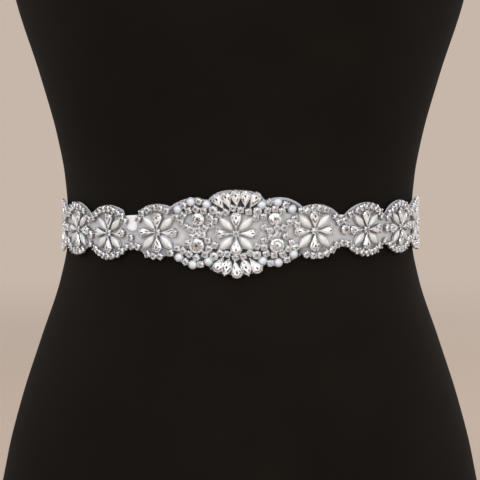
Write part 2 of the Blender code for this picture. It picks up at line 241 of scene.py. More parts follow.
FORM_SECTIONS = (
    Section(-0.270, 0.1540, 0.1010, 0.1050),
    Section(-0.265, 0.1590, 0.1060, 0.1100),
    Section(-0.250, 0.1640, 0.1110, 0.1150),
    Section(-0.205, 0.1675, 0.1160, 0.1190),
    Section(-0.162, 0.1610, 0.1180, 0.1140),
    Section(-0.121, 0.1505, 0.1170, 0.1030),
    Section(-0.079, 0.1367, 0.1130, 0.0900),
    Section(-0.038, 0.1230, 0.1085, 0.0780),
    Section(-0.014, 0.1184, 0.1065, 0.0730),
    Section(0.006, 0.1178, 0.1060, 0.0720),
    Section(0.031, 0.1196, 0.1070, 0.0730),
    Section(0.059, 0.1247, 0.1090, 0.0770),
    Section(0.100, 0.1360, 0.1150, 0.0860),
    Section(0.155, 0.1530, 0.1220, 0.0980),
    Section(0.195, 0.1600, 0.1240, 0.1040),
    Section(0.240, 0.1605, 0.1170, 0.1070),
    Section(0.285, 0.1660, 0.1010, 0.1040),
    Section(0.320, 0.1740, 0.0850, 0.0960),
    Section(0.342, 0.1680, 0.0710, 0.0870),
    Section(0.360, 0.1420, 0.0640, 0.0770),
    Section(0.378, 0.1030, 0.0580, 0.0680),
    Section(0.396, 0.0700, 0.0530, 0.0600),
    Section(0.420, 0.0550, 0.0500, 0.0540),
    Section(0.462, 0.0520, 0.0490, 0.0490),
)


@dataclass
class FormShape:
    """The dress form's surface, and the flat layout wrapped round it. Sizes are in metres."""

    waist_height: float = 0.270
    shift_back: float = 0.0074
    bust_height: float = 0.180
    bust_half_spacing: float = 0.078
    bust_spread: float = 0.056
    bust_rise: float = 0.014
    sash_rise: tuple[tuple[float, float], ...] = (
        (-260.0, 0.0), (-200.0, -1.0), (-156.0, -1.4), (-120.0, -1.3), (-88.0, -1.9), (-50.0, 0.1),
        (0.0, 0.1), (49.0, 1.3), (88.0, 0.7), (124.0, 0.4), (200.0, 0.2), (260.0, 0.0),
    )
    ribbon_run: tuple[tuple[float, float, float], ...] = (
        (-330.0, 0.0, 22.0), (-215.0, 0.0, 22.0), (-165.0, 0.0, 21.2), (-110.0, 0.6, 20.7),
        (-70.0, 1.0, 20.7), (-32.0, 1.1, 22.0), (32.0, 1.1, 22.0), (69.0, -0.4, 20.5),
        (106.0, -0.5, 20.7), (165.0, -0.2, 21.2), (215.0, 0.0, 22.0), (330.0, 0.0, 22.0),
    )
    flat_end: tuple[float, float, float] = (-165.0, 30.0, 0.38)
    flat_end_lift: float = 2.2
    samples: int = 4096

    def __post_init__(self) -> None:
        """Fits the sections and measures the waist."""
        heights = [s.height for s in FORM_SECTIONS]
        rows = [(s.half_width, s.front_depth, s.back_depth) for s in FORM_SECTIONS]
        self.sections = SmoothColumns(heights, rows)
        self.turns = np.linspace(-math.pi, math.pi, self.samples + 1)
        ring = self.point(self.turns, np.zeros_like(self.turns))
        steps = np.linalg.norm(np.diff(ring, axis=0), axis=1)
        along = np.concatenate(([0.0], np.cumsum(steps))) / MM
        self.along = along - along[-1] / 2
        self.half_waist = float(self.along[-1])
        self.rise, self.ribbon = (
            SmoothColumns([row[0] for row in table], [row[1:] for row in table])
            for table in (self.sash_rise, self.ribbon_run)
        )

    def point(self, turn: np.ndarray, height: np.ndarray) -> np.ndarray:
        """The surface at each turn (0 in front, growing towards +X) and height over the waist."""
        half_width, front, back = self.sections.at(height).T
        x = half_width * np.sin(turn)
        facing = np.cos(turn)
        y = -facing * np.where(facing > 0, front, back)
        for side in (-1, 1):
            across = (x - side * self.bust_half_spacing) / self.bust_spread
            up = (height - self.bust_height) / self.bust_spread
            bust = self.bust_rise * np.maximum(facing, 0.0)
            y = y - bust * np.exp(-(across**2 + up**2) / 2)
        return np.stack([x, y + self.shift_back, self.waist_height + height], axis=1)

    def normal(self, turn: np.ndarray, height: np.ndarray) -> np.ndarray:
        """The outward normals of the surface at each turn and height."""
        step = 1e-4
        around = self.point(turn + step, height) - self.point(turn - step, height)
        rising = self.point(turn, height + step) - self.point(turn, height - step)
        normal = np.cross(around, rising)
        return normal / np.linalg.norm(normal, axis=1)[:, None]

    def wrap(self, flat: np.ndarray) -> np.ndarray:
        """Points of the flat layout wrapped round the form, where the sash isn't quite level.

        Args:
            flat: One row of along, up and lift, in millimetres, for each point.

        Returns:
            The points' places in metres.
        """
        half = self.half_waist
        along = (flat[:, 0] + half) % (2 * half) - half
        turn = np.interp(along, self.along, self.turns)
        height = (flat[:, 1] + self.rise.at(along)[:, 0]) * MM
        place, reach, share = self.flat_end
        pressed = share * (1.0 - eased((np.abs(along - place) - 5.0) / reach))
        lift = flat[:, 2] - pressed * np.maximum(flat[:, 2] - self.flat_end_lift, 0.0)
        return self.point(turn, height) + self.normal(turn, height) * (lift * MM)[:, None]


@dataclass
class MeshHeap:
    """Many small shapes gathered into one mesh, in whatever space their points are given."""

    points: list[np.ndarray] = field(default_factory=list)
    faces: list[Face] = field(default_factory=list)
    layout: list[np.ndarray] = field(default_factory=list)
    tones: list[float] = field(default_factory=list)
    count: int = 0

    def add(
        self,
        points: np.ndarray,
        faces: Iterable[Face],
        layout: np.ndarray | None = None,
        tones: Sequence[float] = (),
    ) -> None:
        """Adds one shape.

        Args:
            points: The shape's points, one row each.
            faces: Its faces, as indices of those points.
            layout: Flat coordinates for the finish, if they aren't the points' own first two.
            tones: A value from 0 to 1 for each face, where the finish needs it: painted reflections on the
                crystals, painted light and shade on the silver, the pearls' tint and the organza's doubling.
        """
        start = self.count
        self.points.append(points)
        self.layout.append(points[:, :2] if layout is None else layout)
        self.faces.extend(tuple(start + v for v in face) for face in faces)
        self.tones.extend(tones)
        self.count += len(points)

    def build(
        self, name: str, place: Callable[[np.ndarray], np.ndarray] | None = None
    ) -> Piece:
        """Makes the object.

        Args:
            name: The piece's name.
            place: Turns the gathered points into places in metres.

        Returns:
            The new object, linked to the scene.
        """
        points = np.vstack(self.points)
        world = points if place is None else place(points)
        mesh = bpy.data.meshes.new(name)
        mesh.from_pydata(world.tolist(), [], self.faces)
        flat = np.vstack(self.layout)
        corners = np.empty(len(mesh.loops), dtype=np.int32)
        mesh.loops.foreach_get("vertex_index", corners)
        uv = mesh.uv_layers.new(name="layout")
        uv.data.foreach_set("uv", flat[corners].astype(np.float32).ravel())
        if self.tones:
            tone = np.repeat(self.tones, [len(face) for face in self.faces])
            facets = mesh.uv_layers.new(name="facets")
            pairs = np.column_stack([tone, np.full(len(tone), 0.5)])
            facets.data.foreach_set("uv", pairs.astype(np.float32).ravel())
        work = bmesh.new()
        work.from_mesh(mesh)
        bmesh.ops.recalc_face_normals(work, faces=work.faces)
        work.to_mesh(mesh)
        work.free()
        obj = bpy.data.objects.new(name, mesh)
        bpy.context.scene.collection.objects.link(obj)
        return obj


def grid_pairs(columns: np.ndarray, rows: np.ndarray) -> tuple[np.ndarray, np.ndarray]:
    """Every column's value with every row's, column by column."""
    first, second = np.meshgrid(columns, rows, indexing="ij")
    return first.ravel(), second.ravel()


def grid_faces(columns: int, rows: int, closed: bool) -> list[Face]:
    """Quads over a grid of points that are stored column by column."""
    faces = []
    for i in range(columns if closed else columns - 1):
        near, far = i * rows, (i + 1) % columns * rows
        faces += [(near + j, far + j, far + j + 1, near + j + 1) for j in range(rows - 1)]
    return faces


def tube_faces(rings: int, sides: int, closed: bool = False) -> list[Face]:
    """Quads round a tube whose rings of points are stored one after another.

    Args:
        rings: How many rings it has.
        sides: How many points each ring has.
        closed: Whether the last ring meets the first.

    Returns:
        The faces.
    """
    faces = []
    for i in range(rings if closed else rings - 1):
        near, far = i * sides, (i + 1) % rings * sides
        for j in range(sides):
            k = (j + 1) % sides
            faces.append((near + j, near + k, far + k, far + j))
    return faces


def shell(
    outer: np.ndarray, columns: int, rows: int, closed: bool, thickness: float
) -> tuple[np.ndarray, list[Face]]:
    """A thin closed shell of cloth in the flat layout.

    Args:
        outer: The outer face's grid of points, column by column.
        columns: How many columns the grid has.
        rows: How many rows it has.
        closed: Whether the last column meets the first.
        thickness: How much lower the inner face lies.

    Returns:
        The shell's points and faces.
    """
    inner = outer - np.array([0.0, 0.0, thickness])
    start = len(outer)
    faces = grid_faces(columns, rows, closed)
    faces += [tuple(start + v for v in reversed(face)) for face in list(faces)]
    rim = [i * rows for i in range(columns)] + ([0] if closed else [])
    for low, step in ((0, 1), (rows - 1, -1)):
        for a, b in zip(rim[:-1], rim[1:]):
            a, b = (a + low, b + low)[::step]
            faces.append((b, a, start + a, start + b))
    if not closed:
        for edge, step in ((0, -1), ((columns - 1) * rows, 1)):
            for j in range(rows - 1):
                a, b = (edge + j, edge + j + 1)[::step]
                faces.append((b, a, start + a, start + b))
    return np.vstack([outer, inner]), faces


def finish_piece(
    obj: Piece,
    material: Material,
    replaces: Sequence[str] = (),
    smooth: bool = True,
) -> Piece:
    """Dresses a piece, fastens it to the part's body and hides the CAD nodes that it stands for.

    Args:
        obj: The piece.
        material: Its finish.
        replaces: The CAD nodes that the piece stands for.
        smooth: Whether its faces are shaded smooth up to sharp edges.

    Returns:
        The same object.
    """
    obj.data.materials.append(material)
    if smooth:
        obj.data.shade_smooth()
        obj.data.set_sharp_from_angle(angle=SHARP_ANGLE)
    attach(obj, BODY)
    if replaces:
        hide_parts(*replaces)
    triangles = sum(len(polygon.vertices) - 2 for polygon in obj.data.polygons)
    log.info("%s: %d triangles", obj.name, triangles)
    return obj


class NodeTable:
    """Builds one material's nodes round its Principled shader."""

    def __init__(self, name: str, **constants: float | tuple) -> None:
        """Starts the material.

        Args:
            name: The material's name.
            constants: Values for the shader's sockets, with _ for each space.
        """
        self.material = bpy.data.materials.new(name)
        self.material.use_nodes = True
        self.tree = self.material.node_tree
        self.shader = self.tree.nodes["Principled BSDF"]
        for socket, value in constants.items():
            self.shader.inputs[socket.replace("_", " ")].default_value = value

    def add(self, kind: str, sockets: dict[str, object] | None = None, **settings: object) -> bpy.types.Node:
        """Adds a node.

        Args:
            kind: The node's type, without the ShaderNode in front.
            sockets: Values or linked outputs for its inputs.
            settings: Values for its own properties.

        Returns:
            The node.
        """
        node = self.tree.nodes.new("ShaderNode" + kind)
        for name, value in settings.items():
            setattr(node, name, value)
        for name, value in (sockets or {}).items():
            if isinstance(value, Socket):
                self.tree.links.new(value, node.inputs[name])
            else:
                node.inputs[name].default_value = value
        return node

    def feed(self, socket: str, output: Socket) -> None:
        """Links an output to one of the shader's sockets."""
        self.tree.links.new(output, self.shader.inputs[socket])

    def flat_layout(self) -> Socket:
        """The piece's place in the flat layout, in millimetres."""
        return self.add("UVMap", uv_map="layout").outputs["UV"]

    def place(self) -> Socket:
        """The place in metres, fixed to the object."""
        return self.add("TexCoord").outputs["Object"]

    def noise(self, where: Socket, scale: float, detail: float = 3.0) -> Socket:
        """Soft noise, from 0 to 1."""
        node = self.add("TexNoise", {"Vector": where, "Scale": scale, "Detail": detail})
        return node.outputs["Fac"]

    def ramp(self, value: Socket, *stops: tuple[float, Colour]) -> Socket:
        """A colour that follows a value through the given stops."""
        node = self.add("ValToRGB", {"Fac": value})
        elements = node.color_ramp.elements
        while len(elements) < len(stops):
            elements.new(1.0)
        for element, (position, colour) in zip(elements, stops):
            element.position = position
            element.color = (*colour, 1.0)
        return node.outputs["Color"]

    def stretched(self, value: Socket, low: float, high: float) -> Socket:
        """A value from 0 to 1 mapped to the given limits."""
        node = self.add("MapRange", {"Value": value, "To Min": low, "To Max": high})
        return node.outputs["Result"]

    def wave(
        self, where: Socket, scale: float, direction: str, distortion: float = 0.0
    ) -> Socket:
        """Even bands, from 0 to 1."""
        sockets = {"Vector": where, "Scale": scale, "Distortion": distortion}
        return self.add("TexWave", sockets, bands_direction=direction).outputs["Fac"]

    def joined(self, operation: str, *values: Socket) -> Socket:
        """Works one value out from two.

        Args:
            operation: The Math node's operation.
            values: The two outputs that it takes.

        Returns:
            The result's output.
        """
        node = self.add("Math", operation=operation)
        for socket, value in zip(node.inputs, values):
            self.tree.links.new(value, socket)
        return node.outputs["Value"]

    def mixed(
        self, first: Socket, second: object, factor: object = 1.0, blend: str = "MIX"
    ) -> Socket:
        """Mixes or multiplies two colours.

        Args:
            first: The first colour's output.
            second: The second colour, or its output.
            factor: How much of the second is used, or an output that says so.
            blend: The Mix node's blend type.

        Returns:
            The result's output.
        """
        sockets = {"Factor": factor, "A": first, "B": second}
        node = self.add("Mix", sockets, data_type="RGBA", blend_type=blend)
        return node.outputs["Result"]

    def face_tone(self) -> Socket:
        """The tone that a piece keeps for each of its faces, from 0 to 1."""
        facets = self.add("UVMap", uv_map="facets").outputs["UV"]
        return self.add("SeparateXYZ", {"Vector": facets}).outputs["X"]

    def bump(self, height: Socket, distance: float, strength: float) -> None:
        """Gives the shader a bumpy normal.

        Args:
            height: The relief, from 0 to 1.
            distance: How deep the relief is, in metres.
            strength: How much of it is used.
        """
        before = self.shader.inputs["Normal"].links
        sockets = {"Height": height, "Distance": distance, "Strength": strength}
        if before:
            sockets["Normal"] = before[0].from_socket
        self.feed("Normal", self.add("Bump", sockets).outputs["Normal"])


@dataclass(frozen=True)
class JerseyFinish:
    """Fine matt black knit, a little worn and dusty at its highest loops."""

    dark: Colour = (0.0056, 0.0044, 0.0032)
    light: Colour = (0.0082, 0.0068, 0.0050)
    loop_pitch: float = 1.1
    row_pitch: float = 0.8

    def build(self) -> Material:
        """Makes the knit."""
        table = NodeTable(
            "black_jersey",
            Roughness=0.9,
            Specular_IOR_Level=0.07,
            Sheen_Weight=0.02,
            Sheen_Roughness=0.35,
            Sheen_Tint=(0.62, 0.50, 0.50, 1.0),
        )
        where = table.place()
        cloudy = table.noise(where, 14.0, 4.0)
        table.feed("Base Color", table.ramp(cloudy, (0.32, self.dark), (0.70, self.light)))
        flat = table.flat_layout()
        wales = table.wave(flat, WAVE_BANDS / self.loop_pitch, "X")
        courses = table.wave(flat, WAVE_BANDS / self.row_pitch, "Y")
        table.bump(table.joined("MULTIPLY", wales, courses), 0.0003, 0.35)
        table.bump(cloudy, 0.002, 0.10)
        table.feed("Roughness", table.stretched(cloudy, 0.82, 0.97))
        return table.material


@dataclass(frozen=True)
class CapFinish:
    """Matt black moulded plastic with a fine grain."""

    colour: Colour = (0.012, 0.011, 0.010)
    worn: Colour = (0.022, 0.020, 0.018)

    def build(self) -> Material:
        """Makes the plastic."""
        table = NodeTable("black_cap", Specular_IOR_Level=0.4)
        where = table.place()
        grain = table.noise(where, 900.0, 2.0)
        wear = table.noise(where, 45.0, 5.0)
        table.feed("Base Color", table.ramp(wear, (0.45, self.colour), (0.85, self.worn)))
        table.feed("Roughness", table.stretched(grain, 0.42, 0.62))
        table.bump(grain, 0.0002, 0.4)
        return table.material


@dataclass(frozen=True)
class SatinFinish:
    """White satin ribbon: fine warp ribs along it and a soft gloss."""

    light: Colour = (0.93, 0.93, 0.95)
    shade: Colour = (0.84, 0.84, 0.87)
    rib_pitch: float = 0.45

    def build(self) -> Material:
        """Makes the satin."""
        table = NodeTable(
            "white_satin",
            Specular_IOR_Level=0.55,
            Sheen_Weight=0.25,
            Sheen_Roughness=0.3,
            Sheen_Tint=(0.95, 0.95, 1.0, 1.0),
        )
        flat = table.flat_layout()
        ribs = table.wave(flat, WAVE_BANDS / self.rib_pitch, "Y", distortion=0.6)
        cloudy = table.noise(table.place(), 55.0, 3.0)
        table.feed("Base Color", table.ramp(cloudy, (0.30, self.shade), (0.66, self.light)))
        table.feed("Roughness", table.stretched(cloudy, 0.30, 0.42))
        table.bump(ribs, 0.00008, 0.35)
        table.bump(cloudy, 0.0008, 0.12)
        return table.material


@dataclass(frozen=True)
class OrganzaFinish:
    """Stiff, sheer white organza: a crisp plain weave with a cool lilac cast, its colours darkened to grey
    as painted shade between the stones.
    """

    # light and shade are painted shade: the white organza is painted dark grey so that the gaps between the
    # stones look shaded.
    light: Colour = (0.32, 0.31, 0.35)
    shade: Colour = (0.085, 0.082, 0.096)
    doubled: Colour = (0.44, 0.43, 0.475)
    thread_pitch: float = 0.7
    cover: tuple[float, float] = (0.06, 0.21)
    doubled_cover: float = 0.85

    def build(self) -> Material:
        """Makes the organza."""
        table = NodeTable(
            "beaded_organza",
            Specular_IOR_Level=0.45,
            Sheen_Weight=0.2,
            Sheen_Roughness=0.25,
            Sheen_Tint=(0.92, 0.92, 1.0, 1.0),
        )
        flat = table.flat_layout()
        scale = WAVE_BANDS / self.thread_pitch
        weave = table.joined("MAXIMUM", *(table.wave(flat, scale, way) for way in "XY"))
        cloudy = table.noise(flat, 0.16, 3.0)
        hem = table.face_tone()
        # Painted shade: the sheer organza's colour, dark grey in random patches.
        sheer = table.ramp(cloudy, (0.30, self.shade), (0.62, self.light))
        table.feed("Base Color", table.mixed(sheer, (*self.doubled, 1.0), hem))
        table.feed("Roughness", table.stretched(weave, 0.62, 0.40))
        gauze = table.stretched(cloudy, *self.cover)
        doubled = table.stretched(hem, 0.0, self.doubled_cover)
        table.feed("Alpha", table.joined("MAXIMUM", gauze, doubled))
        table.bump(weave, 0.00012, 0.5)
        table.bump(cloudy, 0.0005, 0.25)
        return table.material


@dataclass(frozen=True)
class CrystalFinish:
    """Foiled cut glass, each facet painted with a reflection: bright, grey or nearly black."""

    # Painted reflections, from bright to nearly black.
    bright: Colour = (0.965, 0.975, 1.0)
    middle: Colour = (0.60, 0.59, 0.58)
    grey: Colour = (0.20, 0.195, 0.185)
    dark: Colour = (0.025, 0.024, 0.022)

    def build(self) -> Material:
        """Makes the glass."""
        table = NodeTable(
            "crystal_painted_reflections",
            Metallic=0.40,
            Specular_IOR_Level=0.7,
            Coat_Weight=1.0,
            Coat_Roughness=0.02,
            Coat_IOR=1.55,
        )
        # Each facet's tone picks its painted reflection.
        stops = zip((0.13, 0.37, 0.64, 0.87), (self.dark, self.grey, self.middle, self.bright))
        table.feed("Base Color", table.ramp(table.face_tone(), *stops))
        table.feed("Roughness", table.stretched(table.noise(table.flat_layout(), 2.0), 0.05, 0.20))
        return table.material


@dataclass(frozen=True)
class PearlFinish:
    """Pearl lustre, ivory on the petals and bluish on the half pearls, with a faint play of colour and
    painted shade that darkens it towards its edges.
    """

    # body, cool and rim: painted shade, darkening from the middle to the edges.
    body: Colour = (0.76, 0.775, 0.80)
    cool: Colour = (0.62, 0.65, 0.70)
    rim: Colour = (0.36, 0.38, 0.44)
    ivory: Colour = (1.0, 0.985, 0.945)
    blue: Colour = (0.91, 0.965, 1.0)

    def build(self) -> Material:
        """Makes the lustre."""
        table = NodeTable(
            "pearl_lustre_painted_edge_shade",
            Roughness=0.22,
            Specular_IOR_Level=0.7,
            Coat_Weight=0.5,
            Coat_Roughness=0.12,
            Subsurface_Weight=0.12,
            Subsurface_Scale=0.0012,
            Sheen_Weight=0.1,
            Sheen_Tint=(0.9, 0.85, 1.0, 1.0),
        )
        facing = table.add("LayerWeight", {"Blend": 0.35}).outputs["Facing"]
        flat = table.flat_layout()
        # Painted shade: darker as the surface turns away from the view.
        tone = table.ramp(facing, (0.0, self.body), (0.45, self.cool), (1.0, self.rim))
        swirl = table.noise(flat, 0.3, 3.0)
        swirls = table.ramp(swirl, (0.35, (0.90, 0.93, 0.92)), (0.65, (1.0, 0.98, 0.97)))
        lustre = table.mixed(tone, swirls, blend="MULTIPLY")
        tint = table.ramp(table.face_tone(), (0.0, self.ivory), (1.0, self.blue))
        table.feed("Base Color", table.mixed(lustre, tint, blend="MULTIPLY"))
        table.feed("Roughness", table.stretched(swirl, 0.16, 0.30))
        return table.material


@dataclass(frozen=True)
class SilverFinish:
    """Silver plate with painted light: painted highlights on the claws, painted shade on the low walls and
    bases of the settings.
    """

    # bright is a painted highlight, black a painted shade.
    bright: Colour = (0.98, 0.98, 0.99)
    middle: Colour = (0.50, 0.50, 0.51)
    black: Colour = (0.020, 0.019, 0.018)

    def build(self) -> Material:
        """Makes the plate."""
        table = NodeTable("silver_painted_highlights_and_shade", Metallic=0.9)
        tone = table.face_tone()
        flat = table.flat_layout()
        tarnish = table.noise(flat, 0.9, 4.0)
        # The faces' tones paint the settings: painted shade low down, painted highlights on the claws.
        plate = table.ramp(tone, (0.0, self.black), (0.5, self.middle), (1.0, self.bright))
        rubbed = table.ramp(tarnish, (0.34, (0.72, 0.71, 0.72)), (0.56, (1.0, 1.0, 1.0)))
        table.feed("Base Color", table.mixed(plate, rubbed, blend="MULTIPLY"))
        table.feed("Roughness", table.stretched(tarnish, 0.50, 0.34))
        table.bump(table.noise(flat, 5.0, 2.0), 0.00005, 0.3)
        return table.material


@dataclass(frozen=True)
class ThreadFinish:
    """White cotton thread with a two-ply twist, its grooves darker as painted shade."""

    colour: Colour = (0.62, 0.61, 0.65)
    shade: Colour = (0.42, 0.41, 0.45)

    def build(self) -> Material:
        """Makes the thread."""
        table = NodeTable("white_thread_painted_groove_shade", Specular_IOR_Level=0.3, Sheen_Weight=0.3)
        twist = table.wave(table.flat_layout(), 0.6, "DIAGONAL")
        # Painted shade: darker where the twist's bump is low.
        table.feed("Base Color", table.ramp(twist, (0.2, self.shade), (0.7, self.colour)))
        table.feed("Roughness", table.stretched(twist, 0.75, 0.55))
        table.bump(twist, 0.0001, 0.6)
        return table.material


@dataclass(frozen=True)
class FloorFinish:
    """The studio's pale table top, which fades out with distance."""

    colour: Colour = (0.53, 0.425, 0.345)
    solid_radius: float = 0.7
    faded_radius: float = 2.4

    def build(self) -> Material:
        """Makes the table top."""
        table = NodeTable("pale_floor", Roughness=0.8, Specular_IOR_Level=0.2)
        where = table.place()
        shade = tuple(0.94 * c for c in self.colour)
        cloudy = table.noise(where, 1.5, 3.0)
        table.feed("Base Color", table.ramp(cloudy, (0.3, shade), (0.7, self.colour)))
        table.feed("Roughness", table.stretched(cloudy, 0.75, 0.9))
        distance = table.add("VectorMath", {0: where}, operation="LENGTH").outputs["Value"]
        fade = table.add(
            "MapRange",
            {
                "Value": distance,
                "From Min": self.solid_radius,
                "From Max": self.faded_radius,
                "To Min": 1.0,
                "To Max": 0.0,
            },
            interpolation_type="SMOOTHSTEP",
        )
        table.feed("Alpha", fade.outputs["Result"])
        return table.material


@dataclass
class DressForm:
    """The jersey-covered torso and the plain cap on its neck. Sizes are in metres."""

    shape: FormShape
    columns: int = 180
    rings: int = 250
    bottom: float = -0.270
    top: float = 0.462
    seam_turns: tuple[float, ...] = (-math.pi / 2, math.pi / 2, math.pi)
    seam_depth: float = 0.0006
    seam_width: float = 0.0010
    hem_height: float = -0.252
    hem_depth: float = 0.0005
    hem_width: float = 0.0012
    cap_gap: float = 0.00045
    cap_thickness: float = 0.010
    cap_overhang: float = 0.003
    cap_edge: float = 0.003
    cap_columns: int = 96
    cap_edge_steps: int = 6

    def turn_places(self) -> np.ndarray:
        """The columns' turns, with more of them beside each seam."""
        turns = list(np.linspace(-math.pi, math.pi, self.columns, endpoint=False))
        radius = FORM_SECTIONS[9].half_width
        for seam in self.seam_turns:
            for offset in (-2.5, -1.2, -0.6, 0.0, 0.6, 1.2, 2.5):
                turn = seam + offset * self.seam_width / radius
                turns.append((turn + math.pi) % (2 * math.pi) - math.pi)
        turns = np.array(sorted(turns))
        keep = np.concatenate(([True], np.diff(turns) > 1e-4))
        return turns[keep]

    def build_cover(self, finish: Material) -> Piece:
        """The torso in its jersey cover, with side seams, a back seam and a hem."""
        turns = self.turn_places()
        heights = np.linspace(self.bottom, self.top, self.rings)
        turn, height = grid_pairs(turns, heights)
        radius = self.shape.sections.at(height)[:, 0]
        sunk = np.zeros_like(turn)
        for seam in self.seam_turns:
            off = (turn - seam + math.pi) % (2 * math.pi) - math.pi
            sunk += self.seam_depth * np.exp(-((off * radius / self.seam_width) ** 2))
        sunk += self.hem_depth * np.exp(-(((height - self.hem_height) / self.hem_width) ** 2))
        points = self.shape.point(turn, height) - self.shape.normal(turn, height) * sunk[:, None]
        points[:, 2] = self.shape.waist_height + height
        faces = grid_faces(len(turns), self.rings, closed=True)
        last = self.rings - 1
        faces.append(tuple(i * self.rings for i in reversed(range(len(turns)))))
        faces.append(tuple(i * self.rings + last for i in range(len(turns))))
        heap = MeshHeap()
        layout = np.stack([turn * radius, height], axis=1) / MM
        heap.add(points, faces, layout)
        cover = heap.build("form_jersey_cover")
        finish_piece(cover, finish, ["form_body"])
        return cover

    def build_cap(self, finish: Material) -> Piece:
        """The oval cap, its upper and lower edges rounded."""
        neck = FORM_SECTIONS[-1]
        base = self.shape.waist_height + neck.height + self.cap_gap
        profile = []
        for level, start, stop in ((self.cap_edge, -90, 0), (self.cap_thickness - self.cap_edge, 0, 90)):
            for angle in np.radians(np.linspace(start, stop, self.cap_edge_steps)):
                inset = self.cap_edge * (1 - math.cos(angle))
                profile.append((inset, base + level + self.cap_edge * math.sin(angle)))
        turns = np.linspace(0, 2 * math.pi, self.cap_columns, endpoint=False)
        points = []
        for turn in turns:
            for inset, height in profile:
                wide = neck.half_width + self.cap_overhang - inset
                deep = neck.front_depth + self.cap_overhang - inset
                y = self.shape.shift_back - deep * math.cos(turn)
                points.append((wide * math.sin(turn), y, height))
        rows = len(profile)
        faces = grid_faces(self.cap_columns, rows, closed=True)
        faces.append(tuple(i * rows for i in reversed(range(self.cap_columns))))
        faces.append(tuple(i * rows + rows - 1 for i in range(self.cap_columns)))
        heap = MeshHeap()
        heap.add(np.array(points), faces)
        cap = heap.build("form_neck_cover")
        return finish_piece(cap, finish, ["form_neck_cap"])


